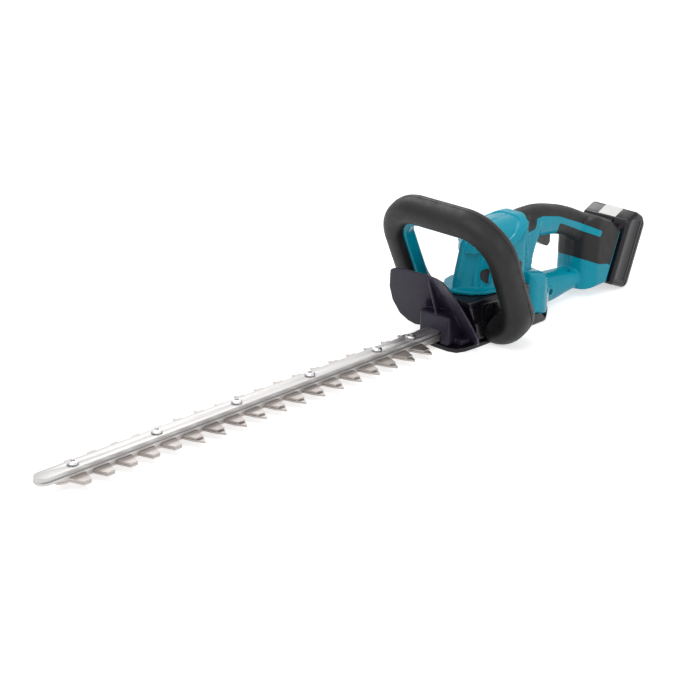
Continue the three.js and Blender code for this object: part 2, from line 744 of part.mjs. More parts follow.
const mountSlab = (s0, s1, t0, t1, half) => slab([
  alongMount(s0, t0), alongMount(s0, t1), alongMount(s1, t1), alongMount(s1, t0)], half);
const slotFloor = mountFace - railHeight - seatGap;
const flangeBack = mountFace - railHeight + railFlange + seatGap;
const railSlot = join(
  mountSlab(slotFloor, flangeBack, railBottom - seatGap, 240, railHalfWidth + seatGap),
  mountSlab(flangeBack - 1, mountFace + 5, railBottom - seatGap, 240, railNeckHalf + seatGap),
);
const triggerRoom = triggerHalfWidth + runGap;
const triggerSlot = box(triggerPivot[0] - triggerHub - 1.2, triggerRear + triggerHeel,
  -triggerRoom, triggerRoom, triggerTip - 1.5, triggerPivot[1] - 3);
const rearOpening = mountSlab(slotFloor - terminalDepth, slotFloor + 2,
  terminalLow - seatGap, terminalHigh + seatGap, terminalHalfWidth + seatGap);

const hollow = cut(
  join(
    barrel(shellWall), pod(barrelStep + shellWall), tail(shellWall), gripBody(gripSkin + shellWall),
  ),
  ...bosses,
  mountSlab(slotFloor - mountWall, mountFace, -far, far, far),
);
const outside = join(
  dome(0), ridge,
  plate(lipPlan, caseTop + seatGap, caseTop + seatGap + lipHeight),
  slab(noseSide, noseRibHalf, 1).intersect(box(-80, 50, -9, 9, caseTop + seatGap, 160)),
  pin(...bossPlace, bossRing, -gripHalfWidth - bossProud, gripHalfWidth + bossProud, 20),
);
const motorPocket = post(motorX, 0, chamberRadius, caseTop - 1, motorTop + seatGap, 28);
const skins = dome(0).subtract(dome(gripSkin)).intersect(skinZone(0));
const shell = cut(
  outside, hollow, underHem, motorPocket, railSlot, triggerSlot, rearOpening,
  dome(-1).subtract(dome(gripSkin + seatGap)).intersect(skinZone(seatGap)),
  box(-far, caseRear + seatGap, -far, far, -far, caseTop + seatGap),
);
const screwRuns = housingScrews.flatMap(([x, z, side, seat]) => {
  const bore = (radius, from, to, sides) => (side > 0
    ? pin(x, z, radius + seatGap, from, to, sides) : pin(x, z, radius + seatGap, -to, -from, sides));
  return [bore(housingScrewHead, seat, far, 16), bore(screwShank, screwEnd - seatGap, seat + 1, 12)];
});
const leftOnly = box(-far, far, -far, -seatGap / 2, -far, far);
const rightOnly = box(-far, far, seatGap / 2, far, -far, far);
const bored = join(
  cut(shell, ...screwRuns),
  pin(...triggerPivot, triggerPin, -gripHalfWidth + shellWall, gripHalfWidth - shellWall, 16),
);
place('housing_left', bored.intersect(leftOnly), teal);
place('housing_right', bored.intersect(rightOnly), teal);
place('grip_skin_left', cut(skins, railSlot).intersect(leftOnly), charcoal);
place('grip_skin_right', cut(skins, railSlot).intersect(rightOnly), charcoal);

housingScrews.forEach(([x, z, side, seat], i) => {
  const foot = seat + seatGap;
  const [y0, y1] = side > 0 ? [foot, foot + screwHeadHeight] : [-foot - screwHeadHeight, -foot];
  const [s0, s1] = side > 0 ? [screwEnd, foot + 0.5] : [-foot - 0.5, -screwEnd];
  const shank = pin(x, z, screwShank, s0, s1, 12);
  place(`housing_screw_${i + 1}`, join(pin(x, z, housingScrewHead, y0, y1, 16), shank), zinc);
});

const panelZone = slab([
  [panelFront, panelLow, 8], [panelRear, panelLow, 1.5], [panelRear, panelHigh, 1.5],
  [panelFront, panelHigh, 8],
], far);
const panelBack = barrelStep - seatGap;
const panels = cut(pod(panelBack - panelThickness), pod(panelBack)).intersect(panelZone);
place('label_panel_left', panels.intersect(leftOnly), black);
place('label_panel_right', panels.intersect(rightOnly), black);

// ---- Trigger, switch, board and leads ----
const [pivotX, pivotZ] = triggerPivot;
place('trigger', cut(
  join(
    slab([
      [pivotX - 3, pivotZ - 1], [pivotX + 1, triggerTip + 12, 6], [pivotX + 14, triggerTip + 5, 5],
      [triggerRear - 5, triggerTip, 3], [triggerRear, triggerTip + 4.5, 4],
      [triggerRear, pivotZ - triggerHeel], [pivotX + 3, pivotZ - triggerHeel],
    ], triggerHalfWidth, 1.5),
    pin(pivotX, pivotZ, triggerHub, -triggerHalfWidth, triggerHalfWidth, 20),
  ),
  pin(pivotX, pivotZ, triggerPin + seatGap, -triggerHalfWidth - 1, triggerHalfWidth + 1, 16),
), black);
const springX = triggerRear - 6;
place('trigger_spring', solid(coil(
  springX, 0, 3, 0.5, pivotZ - triggerHeel + seatGap, switchFloor - seatGap, 2.5,
)), zinc);
place('switch_body',
  box(switchFront, switchRear, -switchHalfWidth, switchHalfWidth, switchFloor, switchRoof), black);

const blockFace = slotFloor - terminalDepth;
const terminals = [-bladeSpread, bladeSpread].map((y) => mountSlab(
  slotFloor - 1, slotFloor + bladeReach, terminalLow + 2, terminalHigh - 6, bladeHalf,
).translate(0, y, 0));
place('terminal_block', join(
  mountSlab(blockFace, slotFloor - seatGap, terminalLow, terminalHigh, terminalHalfWidth),
  ...terminals,
), black);
const boardBack = blockFace - seatGap;
place('controller_board', mountSlab(
  boardBack - boardThickness, boardBack, terminalLow - 12, terminalHigh + 12, terminalHalfWidth + 7,
), board);
const boardFront = boardBack - boardThickness - seatGap;
const [leadX, leadZ] = alongMount(boardFront, terminalHigh);
const [leadTurnX, leadTurnZ] = alongMount(boardFront - 7, terminalHigh);
place('power_lead', lead([
  [leadX, 8, leadZ], [leadTurnX, 8, leadTurnZ], [203, 8, 82], [184, 7, 100], [162, 5, 120],
  [switchRear + leadRadius, 4, 121],
], leadRadius), redWire);
place('motor_lead', lead([
  [switchFront - leadRadius, 5, 121], [92, 6, 123], [72, 8, 122], [50, 10, 116],
  [motorX + 8, 10, motorTop + leadRadius],
], leadRadius), blackWire);

// ---- Front handle: a leaning loop with the lever of its safety switch ----
// The loop is drawn upright in the plane X = 0, where +X is behind it, and then leant.
const leant = (geometry) => solid(geometry.rotateY(-loopLean).translate(loopFoot, 0, 0));

function route(corners) {
  const points = corners.map(([y, w]) => new THREE.Vector3(0, y, w));
  const path = new THREE.CurvePath();
  const pull = 0.5523;             // makes a cubic curve follow a quarter circle
  let last = points[0];
  for (let i = 1; i < points.length - 1; i += 1) {
    const here = points[i];
    const radius = corners[i][2];
    const start = points[i - 1].clone().sub(here).setLength(radius).add(here);
    const end = points[i + 1].clone().sub(here).setLength(radius).add(here);
    path.add(new THREE.LineCurve3(last, start));
    path.add(new THREE.CubicBezierCurve3(
      start, start.clone().lerp(here, pull), end.clone().lerp(here, pull), end,
    ));
    last = end;
  }
  path.add(new THREE.LineCurve3(last, points.at(-1)));
  return path;
}

const loopSteps = 28;
const footEnd = caseHalfWidth + seatGap;
const loopRoute = (extra = 0) => route([
  [-footEnd + extra, loopBottom], [-loopHalfWidth, loopBottom, loopBottomRadius],
  [-loopHalfWidth, loopTop, loopTopRadius], [loopHalfWidth, loopTop, loopTopRadius],
  [loopHalfWidth, loopBottom, loopBottomRadius], [footEnd - extra, loopBottom],
]);
const barRoute = (inward, foot) => {
  const [half, top, radius] = [loopHalfWidth - inward, loopTop - inward, loopTopRadius - inward];
  return route([[-half, foot], [-half, top, radius], [half, top, radius], [half, foot]]);
};
const swept = (section, path, steps, curveSegments) => new THREE.ExtrudeGeometry(section, {
  steps, curveSegments, extrudePath: path, bevelEnabled: false,
});

function tube(shrink, extra) {
  const section = new THREE.Shape();
  section.absellipse(0, 0, tubeDepth / 2 - shrink, tubeAcross / 2 - shrink, 0, 2 * Math.PI);
  const geometry = swept(section, loopRoute(extra), loopSteps, 5 - (shrink > 0));
  const places = geometry.attributes.position;
  for (let i = 0; i < places.count; i += 1) {
    const low = 1 - THREE.MathUtils.smoothstep(places.getZ(i), loopBottom, footSpreadTop);
    places.setX(i, places.getX(i) * (1 + footSpread * low));
  }
  return leant(geometry);
}

function barSection(depth, width, edge) {
  const [d, w] = [depth / 2, width / 2];
  return outline([[-d, -w, edge], [d, -w, edge], [d, w, edge], [-d, w, edge]]);
}

function loopBox(n0, n1, y0, y1, w0, w1) {
  const geometry = new THREE.BoxGeometry(n1 - n0, y1 - y0, w1 - w0);
  return leant(moved(geometry, (n0 + n1) / 2, (y0 + y1) / 2, (w0 + w1) / 2));
}

const leverInward = tubeAcross / 2 + leverProud - leverDepth / 2;
const slotSection = barSection(leverDepth + 9, leverWidth + 2 * runGap, 0);
const leverSlot = leant(swept(slotSection, barRoute(leverInward + 1, leverFoot - 1.5), loopSteps, 1));
const handleShell = cut(
  tube(0, 0), tube(tubeWall, 6), leverSlot,
  box(-far, far, -far, far, -far, handleRest),
  box(-far, far, -baseHalfWidth - seatGap, baseHalfWidth + seatGap, -1, baseThickness + seatGap),
);
const seamCut = (n0, n1) => loopBox(n0, n1, -far, far, -far, far);
place('front_handle_front', handleShell.intersect(seamCut(-far, loopSeam - seatGap / 2)), charcoal);
place('front_handle_rear', handleShell.intersect(seamCut(loopSeam + seatGap / 2, far)), charcoal);

place('front_switch_lever', leant(swept(
  barSection(leverDepth, leverWidth, 3), barRoute(leverInward, leverFoot), loopSteps, 1,
)), teal);
const leverTop = loopTop - leverInward + leverDepth / 2;
const roofInside = loopTop + tubeAcross / 2 - tubeWall - 1.6;
const switchPlace = -30;
place('front_switch', loopBox(
  -6, 6, switchPlace - 9, switchPlace + 9, leverTop + leverTravel + runGap, roofInside,
), black);
place('lever_spring', leant(coil(
  0, -switchPlace, 4, 0.6, leverTop + seatGap, roofInside + 0.6, 4,
)), zinc);

// ---- Hand guard ----
const guardEdge = [
  [-0.5, 94], [20, 98, 20], [35, 100, 14], [45, 96, 8], [49, 88, 6], [58.5, 67, 16],
  [64, 45, 14], [64, 24, 10], [58, 13, 6], [51, 8], [-0.5, 8],
];
const guardPlane = (y, z) => guardPlaneX - guardLean * z - guardSweep * y;

function guardWing(side) {
  const geometry = new THREE.ExtrudeGeometry(outline(guardEdge), {
    depth: guardThickness, curveSegments: 3, bevelEnabled: false,
  });
  const places = geometry.attributes.position;
  for (let i = 0; i < places.count; i += 1) {
    const [y, z, back] = [places.getX(i), places.getY(i), places.getZ(i)];
    places.setXYZ(i, guardPlane(y, z) - guardThickness + back, y, z);
  }
  const wing = solid(geometry);
  return side > 0 ? wing : wing.mirror([0, 1, 0]);
}

const guardRib = slab([
  [guardPlane(0, 92) + 1, 92], [guardPlane(0, 92) - 5, 88, 4], [stemFront + 3, stemTop - 2],
  [stemFront + 12, stemTop - 2],
], 1.5);
const neckSpace = box(neckFront - seatGap, 0, -neckHalfWidth - seatGap, neckHalfWidth + seatGap, 0,
  neckTop + seatGap);
const guardTabs = guardScrewPlaces.map(([x, y]) => box(
  x - guardTabHalf, guardPlane(Math.abs(y) + guardTabHalf, guardTabTop) + guardThickness,
  Math.min(0, y - guardTabHalf), Math.max(0, y + guardTabHalf), baseThickness + seatGap, guardTabTop,
));
place('hand_guard', cut(
  join(
    guardWing(1), guardWing(-1), guardRib, ...guardTabs,
    box(stemFront, caseFootFront, -stemHalfWidth, stemHalfWidth, baseThickness + seatGap, stemTop),
  ),
  slab(caseSide, caseHalfWidth, caseEdge, -seatGap, 3),
  box(caseFootFront - seatGap, 0, -caseHalfWidth - runGap, caseHalfWidth + runGap, 0, caseTop - 20),
  neckSpace,
  box(-far, 0, -barLipHalf - runGap, barLipHalf + runGap, 0, barTop + runGap),
  ...guardScrewPlaces.map(([x, y]) => post(x, y, screwShank + seatGap, 0, guardTabTop - 1, 12)),
), smoke);
guardScrewPlaces.forEach(([x, y], i) => {
  place(`guard_screw_${i + 1}`, baseScrew(x, y, guardTabTop - 2), zinc);
});

// ---- Battery ----
const packCorners = [
  [mountFace, packBottom, 3], [mountFace + packDepth, packBottom, 10],
  [mountFace + packDepth, packTop - 12, 5], [mountFace + packDepth - 9, packTop - 3, 5],
  [mountFace + 16, packTop, 4], [mountFace, latchHigh + 2, 3],
].map(([s, t, radius]) => [...alongMount(s, t), radius]);
const packShell = slab(packCorners, packHalfWidth, packEdge)
  .subtract(slab(packCorners, packHalfWidth, packEdge, packWall));
const latchRoom = mountSlab(mountFace - 5, mountFace - latchProud + latchDepth + latchTravel + seatGap,
  latchLow - seatGap, latchHigh + seatGap, latchHalfWidth + seatGap);
const latchPocket = (wall) => mountSlab(mountFace,
  mountFace - latchProud + latchDepth + latchTravel + wall,
  latchLow - wall, latchHigh + wall, latchHalfWidth + wall);
const railFoot = mountFace - railHeight;
const rail = cut(
  join(
    mountSlab(railFoot, railFoot + railFlange, railBottom, railTop, railHalfWidth),
    mountSlab(railFoot + railFlange - 0.5, mountFace + 1, railBottom, railTop, railNeckHalf),
  ),
  ...[-bladeSpread, bladeSpread].map((y) => mountSlab(
    railFoot - 1, railFoot + bladeReach + seatGap, railBottom - 1, terminalHigh - 5, bladeHalf + runGap,
  ).translate(0, y, 0)),
);
const seam = mountFace + packSeam;
const packPart = (s0, s1) => mountSlab(s0, s1, packBottom - 20, packTop + 20, packHalfWidth + 5);
place('battery_cover', cut(
  join(packShell.intersect(packPart(mountFace - 20, seam - seatGap / 2)), latchPocket(latchWall), rail),
  latchRoom,
), black);
place('battery_case', cut(
  packShell.intersect(packPart(seam + seatGap / 2, mountFace + packDepth + 5)),
  latchPocket(latchWall + seatGap),
), black);
place('battery_button', mountSlab(
  mountFace - latchProud, mountFace - latchProud + latchDepth, latchLow, latchHigh, latchHalfWidth,
), charcoal);

const rearRow = mountFace + packDepth - packWall - seatGap - cellRadius;
const frontRow = rearRow - 2 * cellRadius - seatGap;
const lowestCell = packBottom + packWall + seatGap + cellRadius;
const cellRoom = packTop - 12 - packWall - lowestCell;
const cellsPerRow = 1 + Math.floor(cellRoom / cellPitch);
function cellRow(s, count) {
  const cells = [];
  for (let k = 0; k < count; k += 1) {
    const [x, z] = alongMount(s, lowestCell + k * cellPitch);
    cells.push(pin(x, z, cellRadius, -cellLength / 2, cellLength / 2, 12));
  }
  const strip = mountSlab(s - 3, s + 3, lowestCell - 4,
    lowestCell + (count - 1) * cellPitch + 4, cellLength / 2 + stripThickness);
  return join(...cells, strip.subtract(mountSlab(s - 4, s + 4, 0, 300, cellLength / 2 - 0.2)));
}
place('cell_row_front', cellRow(frontRow, cellsPerRow - 1), cellWrap);   // the latch is above it
place('cell_row_rear', cellRow(rearRow, cellsPerRow), cellWrap);

export default trimmer;
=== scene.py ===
# %% [markdown]
# # A cordless hedge trimmer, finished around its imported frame
#
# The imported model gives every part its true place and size. This script keeps those
# parts as the frame, puts smooth finished shapes over the ones that show, and gives
# every surface a material. Lengths are metres. +Z is up, the blades point to -X and
# the battery is at +X.

import json
import math

import bmesh
import bpy
from mathutils import Matrix, Vector


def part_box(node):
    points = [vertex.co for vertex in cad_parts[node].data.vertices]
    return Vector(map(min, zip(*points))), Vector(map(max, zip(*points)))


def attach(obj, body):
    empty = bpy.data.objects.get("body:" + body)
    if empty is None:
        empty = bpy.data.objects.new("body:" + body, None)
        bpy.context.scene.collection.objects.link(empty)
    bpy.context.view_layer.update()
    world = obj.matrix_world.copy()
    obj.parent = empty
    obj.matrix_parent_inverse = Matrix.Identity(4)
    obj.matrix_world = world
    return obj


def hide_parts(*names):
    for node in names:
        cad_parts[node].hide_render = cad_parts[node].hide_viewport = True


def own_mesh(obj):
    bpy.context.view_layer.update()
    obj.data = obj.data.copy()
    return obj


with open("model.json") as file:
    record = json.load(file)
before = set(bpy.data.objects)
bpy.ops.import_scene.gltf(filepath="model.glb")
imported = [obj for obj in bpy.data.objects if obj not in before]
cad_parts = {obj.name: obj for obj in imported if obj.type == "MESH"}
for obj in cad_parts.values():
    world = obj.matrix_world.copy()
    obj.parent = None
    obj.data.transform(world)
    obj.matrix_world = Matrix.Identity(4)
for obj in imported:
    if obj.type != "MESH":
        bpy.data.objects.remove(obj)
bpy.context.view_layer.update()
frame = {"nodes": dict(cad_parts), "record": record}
record = frame["record"]
nodes = frame["nodes"]
bodies = record["behaviour"]["bodies"]
body_of = {node: body for body, members in bodies.items() for node in members}
slot_of = {part["node"]: part["material_slot"] for part in record["subparts"]}
mm = 0.001

# %% [markdown]
# The camera looks down on the near side from in front, at the blades' nose. It is a
# long lens at some distance, so the far end of the tool hardly shrinks. The camera is
# turned about its own line of sight by half a degree, as a hand-held one is.

# %% Camera
camera_place = Vector((-1.6189, -1.3466, 0.8054))
view_azimuth = math.radians(44.29)
view_elevation = math.radians(21.34)
view_roll = math.radians(0.59)
view_line = Vector((
    math.cos(view_azimuth) * math.cos(view_elevation),
    math.sin(view_azimuth) * math.cos(view_elevation),
    -math.sin(view_elevation),
))
camera = bpy.data.objects.new("camera", bpy.data.cameras.new("camera"))
camera.data.sensor_width = 36
camera.data.lens = 95.13
camera.data.clip_end = 20
turn = view_line.to_track_quat('-Z', 'Y').to_matrix().to_4x4()
camera.matrix_world = Matrix.Translation(camera_place) @ turn @ Matrix.Rotation(view_roll, 4, 'Z')
bpy.context.scene.collection.objects.link(camera)
bpy.context.scene.camera = camera
print("camera", round(camera_place.length, 2), "m away, lens", round(camera.data.lens), "mm")

# %% [markdown]
# The floor is plain and pale. A white floor under white light would need so much light
# that the tool's pale parts burn out. So this one is a matte surface with a glow added
# that only the camera, mirrors and glass see: it fades into the white behind it and
# still takes the tool's soft shadow.

# %% The floor
floor_half, floor_level, floor_shade, floor_glow = 6.0, -0.0003, 0.82, 0.62

def plain_nodes(name):
    """A new material, its node tree, emptied, and its output node."""
    material = bpy.data.materials.new(name)
    material.use_nodes = True
    tree = material.node_tree
    tree.nodes.clear()
    return material, tree, tree.nodes.new("ShaderNodeOutputMaterial")

def node_in(tree, kind, **values):
    """A new shader node with some inputs set; an underscore stands for a space."""
    node = tree.nodes.new("ShaderNode" + kind)
    for name, value in values.items():
        node.inputs[name.replace("_", " ")].default_value = value
    return node

def sum_in(tree, *sockets, share=1):
    """A Math chain that adds sockets up, to 1 at most, and multiplies by share."""
    total = sockets[0]
    for socket in sockets[1:]:
        add = tree.nodes.new("ShaderNodeMath")
        add.use_clamp = True
        tree.links.new(total, add.inputs[0])
        tree.links.new(socket, add.inputs[1])
        total = add.outputs[0]
    scaled = tree.nodes.new("ShaderNodeMath")
    scaled.operation = 'MULTIPLY'
    scaled.inputs[1].default_value = share
    tree.links.new(total, scaled.inputs[0])
    return scaled.outputs[0]

def seen_share(tree, strength):
    """Strength for rays from the camera, a mirror or glass, and nothing for the rest."""
    ray = tree.nodes.new("ShaderNodeLightPath")
    seen = [ray.outputs[f"Is {kind} Ray"] for kind in ("Camera", "Glossy", "Transmission")]
    return sum_in(tree, *seen, share=strength)

floor_material, tree, output = plain_nodes("floor")
matte = node_in(tree, "BsdfDiffuse", Color=(floor_shade, floor_shade, floor_shade, 1))
glow = node_in(tree, "Emission")
both = node_in(tree, "AddShader")
tree.links.new(seen_share(tree, floor_glow), glow.inputs["Strength"])
tree.links.new(matte.outputs[0], both.inputs[0])
tree.links.new(glow.outputs[0], both.inputs[1])
tree.links.new(both.outputs[0], output.inputs["Surface"])

shape = bmesh.new()
bmesh.ops.create_grid(shape, x_segments=1, y_segments=1, size=floor_half)
bmesh.ops.translate(shape, verts=shape.verts[:], vec=(0, 0, floor_level))
floor_mesh = bpy.data.meshes.new("floor")
shape.to_mesh(floor_mesh)
shape.free()
floor_mesh.materials.append(floor_material)
floor = bpy.data.objects.new("floor", floor_mesh)
bpy.context.scene.collection.objects.link(floor)
print("floor", 2 * floor_half, "m wide")

# %% [markdown]
# A large lamp above and in front gives the broad highlights on the loop and the
# housing. A second fills the near side, and a third behind picks out the rims. Area
# lamps are used because their size sets how soft a highlight is. The pale world lights
# the rest evenly, and it is pure white where it is seen.

# %% Lamps and the pale world
lamp_aim = Vector((0, 0, 0.1))

def lamp(name, place, size, power):
    """A square soft lamp, in metres and watts, turned to the tool."""
    data = bpy.data.lights.new(name, 'AREA')
    data.size = size
    data.energy = power
    obj = bpy.data.objects.new(name, data)
    turn = (lamp_aim - Vector(place)).to_track_quat('-Z', 'Y').to_matrix().to_4x4()
    obj.matrix_world = Matrix.Translation(place) @ turn
    bpy.context.scene.collection.objects.link(obj)
    print(name, "lamp", size, "m wide,", power, "W")

lamp("key", (-1.2, -0.3, 2.1), 1.8, 24)
lamp("fill", (0.3, -2.4, 1.2), 1.2, 11)
lamp("rim", (0.9, 1.5, 1.6), 0.8, 10)

world_light = 0.6
world = bpy.data.worlds.new("world")
bpy.context.scene.world = world
world.use_nodes = True
tree = world.node_tree
tree.nodes.clear()
output = tree.nodes.new("ShaderNodeOutputWorld")
soft = node_in(tree, "Background", Strength=world_light)
white = node_in(tree, "Background", Color=(1, 1, 1, 1))
mixed = node_in(tree, "MixShader")
tree.links.new(seen_share(tree, 1), mixed.inputs["Fac"])
tree.links.new(soft.outputs[0], mixed.inputs[1])
tree.links.new(white.outputs[0], mixed.inputs[2])
tree.links.new(mixed.outputs[0], output.inputs["Surface"])
bpy.context.scene.view_settings.view_transform = 'Standard'

# %% [markdown]
# Moulded plastic is never one flat colour. It has a fine spark-eroded grain that breaks
# up its gloss, faint cloudy changes of tone where it has been handled, and a few spots
# that shine more. Ground steel and extruded aluminium have lines that run one way. One
# function lays out that graph, and each finish gives it its own colour, grain and gloss.

# %% A graph shared by the finishes
cloud_scale, rub_scale, coat_roughness = 18, 95, 0.12

def finish(name, color, roughness, metallic=0.0, tone=0.12, gloss_spread=0.08, grain=2600,
           grain_height=0.00004, stretch=(1, 1, 1), coat=0.0, specular=0.5, scuffs=0.0):
    """A Principled finish with clouds of tone, uneven gloss, grain and faint scuffs."""
    material, tree, output = plain_nodes(name)
    link = tree.links.new
    shader = node_in(tree, "BsdfPrincipled", Metallic=metallic, Coat_Weight=coat,
                     Coat_Roughness=coat_roughness, Specular_IOR_Level=specular)
    link(shader.outputs[0], output.inputs["Surface"])
    place = node_in(tree, "TexCoord")
    lines = node_in(tree, "Mapping", Scale=stretch)
    link(place.outputs["Object"], lines.inputs["Vector"])

    def noise(scale, detail, source):
        """Noise between 0 and 1, mostly near a half."""
        node = node_in(tree, "TexNoise", Scale=scale, Detail=detail)
        link(source, node.inputs["Vector"])
        return node.outputs["Fac"]

    def ramp(source, low, high, start, end):
        """The range from low to high, spread from start to end."""
        node = node_in(tree, "MapRange", From_Min=low, From_Max=high, To_Min=start, To_Max=end)
        link(source, node.inputs["Value"])
        return node.outputs["Result"]

    def blend(first, second, share):
        """A colour from first to second, which are colours or sockets."""
        node = node_in(tree, "Mix")
        node.data_type = 'RGBA'
        for socket, value in (("A", first), ("B", second)):
            if isinstance(value, bpy.types.NodeSocket):
                link(value, node.inputs[socket])
            else:
                node.inputs[socket].default_value = (*value, 1)
        link(share, node.inputs["Factor"])
        return node.outputs["Result"]

    clouds = noise(cloud_scale, 4, place.outputs["Object"])
    fine = noise(grain, 3, lines.outputs["Vector"])
    rub = noise(rub_scale, 6, lines.outputs["Vector"])
    dark = [c * (1 - tone) for c in color]
    light = [min(1.0, c * (1 + tone) + 0.01 * tone) for c in color]
    scuffed = [min(1.0, c * 1.5 + 0.03) for c in color]
    shade = blend(dark, light, ramp(clouds, 0.3, 0.7, 0, 1))
    worn = blend(shade, scuffed, ramp(rub, 0.62, 0.8, 0, scuffs))
    link(worn, shader.inputs["Base Color"])
    uneven = ramp(rub, 0.3, 0.7, roughness - gloss_spread, roughness + gloss_spread)
    link(uneven, shader.inputs["Roughness"])
    bump = node_in(tree, "Bump", Strength=1, Distance=grain_height)
    link(fine, bump.inputs["Height"])
    link(bump.outputs["Normal"], shader.inputs["Normal"])
    return material

# %% [markdown]
# The record's slots say which parts share a finish, so each slot gets one here. The
# housing is a saturated teal with a smooth gloss. The grips and the loop are a dull
# charcoal, and the gear case and the guard are a black that leans to violet. The plastics'
# mirror part is kept low, because a white studio would wash their colour out. The guard
# could be given transmission, but it is so dark that next to nothing shows through it.

# %% The finishes, one for each slot of the record
finishes = {
    "blade_steel": finish("ground steel", (0.42, 0.385, 0.365), 0.44, 1.0, tone=0.14,
                          grain=1500, grain_height=0.00006, stretch=(1, 0.06, 1), scuffs=0.2),
    "bar_aluminium": finish("extruded aluminium", (0.50, 0.49, 0.485), 0.46, 1.0, tone=0.05,
                            grain=1300, grain_height=0.00004, stretch=(0.02, 1, 1), scuffs=0.1),
    "zinc": finish("zinc plate", (0.66, 0.66, 0.68), 0.28, 1.0, tone=0.08, grain=3000),
    "gear_steel": finish("hardened steel", (0.36, 0.35, 0.35), 0.38, 1.0, tone=0.15, grain=2200),
    "copper": finish("copper windings", (0.62, 0.30, 0.16), 0.35, 1.0, tone=0.2,
                     grain=1500, grain_height=0.0002, stretch=(1, 1, 0.05)),
    "case_black": finish("violet black gloss", (0.007, 0.005, 0.009), 0.24, tone=0.3, coat=0.1,
                         specular=0.3, grain=900, grain_height=0.00001, scuffs=0.05),
    "trim_black": finish("black plastic", (0.016, 0.015, 0.017), 0.42, tone=0.25, scuffs=0.1),
    "housing_teal": finish("teal moulding", (0.000, 0.325, 0.445), 0.22, tone=0.06,
                           specular=0.2, grain=1100, grain_height=0.00001, scuffs=0.03),
    "grip_charcoal": finish("charcoal soft grip", (0.014, 0.013, 0.014), 0.50, tone=0.15,
                            specular=0.3, grain=900, grain_height=0.00003, scuffs=0.06),
    "guard_smoke": finish("smoked guard", (0.024, 0.019, 0.038), 0.36, tone=0.12, specular=0.25,
                          grain=900, grain_height=0.00001, scuffs=0.05),
    "label": finish("blank label film", (0.80, 0.80, 0.78), 0.45, tone=0.03, specular=0.4,
                    grain=600, grain_height=0.00001, scuffs=0.1),
    "board_green": finish("board lacquer", (0.01, 0.16, 0.07), 0.35, tone=0.2, grain=700,
                          grain_height=0.0001, stretch=(1, 0.1, 1), coat=0.4),
    "lead_red": finish("red wire", (0.45, 0.02, 0.02), 0.42, tone=0.15),
    "cell_blue": finish("cell wrap", (0.04, 0.16, 0.36), 0.30, tone=0.1, coat=0.3),
}
for node, obj in nodes.items():
    obj.data.materials.clear()
    obj.data.materials.append(finishes[slot_of[node]])
print(len(finishes), "finishes on", len(nodes), "nodes")

# %% [markdown]
# Nearly every moulding on this tool is an outline given a depth, with its corners and
# rims rounded. A few vertices and one face hold the outline. A bevel of each corner
# vertex turns it into an arc, an extrusion gives the depth, and a bevel of the rim edges
# rounds the ends. Curve objects could do the same, but a bmesh keeps every step in one
# place. The helpers work in millimetres. Outlines are plain lists, and each solid is a
# closed mesh.

# %% Outlines, rounded and given a depth
def drawn(corners, arc_step=7):
    """A face in x and y whose corners [x, y, radius] are rounded to arcs."""
    form = bmesh.new()
    marks = [form.verts.new((corner[0], corner[1], 0)) for corner in corners]
    form.faces.new(marks)
    for i, mark in enumerate(marks):
        radius = corners[i][2] if len(corners[i]) > 2 else 0
        if not radius:
            continue
        here = Vector(corners[i][:2])
        before = Vector(corners[i - 1][:2]) - here
        after = Vector(corners[(i + 1) % len(corners)][:2]) - here
        angle = before.angle(after)
        reach = min(radius / math.tan(angle / 2), before.length * 0.49, after.length * 0.49)
        steps = max(2, round(math.degrees(math.pi - angle) / arc_step))
        bmesh.ops.bevel(form, geom=[mark], offset=reach, offset_type='OFFSET', segments=steps,
                        profile=0.5, affect='VERTICES', material=-1, clamp_overlap=False)
    return form

def closed(form):
    """The bmesh as a mesh with its faces turned outwards."""
    bmesh.ops.remove_doubles(form, verts=form.verts[:], dist=0.001)
    bmesh.ops.recalc_face_normals(form, faces=form.faces[:])
    if form.calc_volume(signed=True) < 0:
        bmesh.ops.reverse_faces(form, faces=form.faces[:])
    mesh = bpy.data.meshes.new("work")
    form.to_mesh(mesh)
    form.free()
    return mesh

def raised(form, low, high, rim=0.0, rim_steps=5):
    """Gives a drawn face the depth from low to high, with rounded rims."""
    bmesh.ops.translate(form, verts=form.verts[:], vec=(0, 0, low))
    made = bmesh.ops.extrude_face_region(form, geom=form.faces[:])
    top = [part for part in made["geom"] if isinstance(part, bmesh.types.BMVert)]
    bmesh.ops.translate(form, verts=top, vec=(0, 0, high - low))
    if rim:
        middle = (low + high) / 2
        rims = [edge for edge in form.edges
                if (edge.verts[0].co.z - middle) * (edge.verts[1].co.z - middle) > 0]
        bmesh.ops.bevel(form, geom=rims, offset=rim, offset_type='OFFSET', segments=rim_steps,
                        profile=0.5, affect='EDGES', material=-1, clamp_overlap=False)
    return closed(form)

to_side = Matrix.Rotation(math.pi / 2, 4, 'X')
to_front = Matrix(((0, 0, 1, 0), (1, 0, 0, 0), (0, 1, 0, 0), (0, 0, 0, 1)))

def turned_to(mesh, matrix):
    """The same mesh, moved by the matrix."""
    mesh.transform(matrix)
    return mesh

def slab(corners, half, rim=0.0, rim_steps=5):
    """A side outline [x, z, radius], as thick as half to either side of the middle."""
    return turned_to(raised(drawn(corners), -half, half, rim, rim_steps), to_side)

def plate(corners, low, high, rim=0.0):
    """A plan [x, y, radius] from height low to height high."""
    return raised(drawn(corners), low, high, rim)

def arch(corners, start, end, rim=0.0):
    """A front outline [y, z, radius], run along the tool from start to end."""
    return turned_to(raised(drawn(corners), start, end, rim), to_front)

def both_sides(half_plan):
    """A plan given for the -Y side, closed with its mirror image."""
    far_side = [[x, -y, *rest] for x, y, *rest in reversed(half_plan)]
    return [list(corner) for corner in half_plan] + far_side

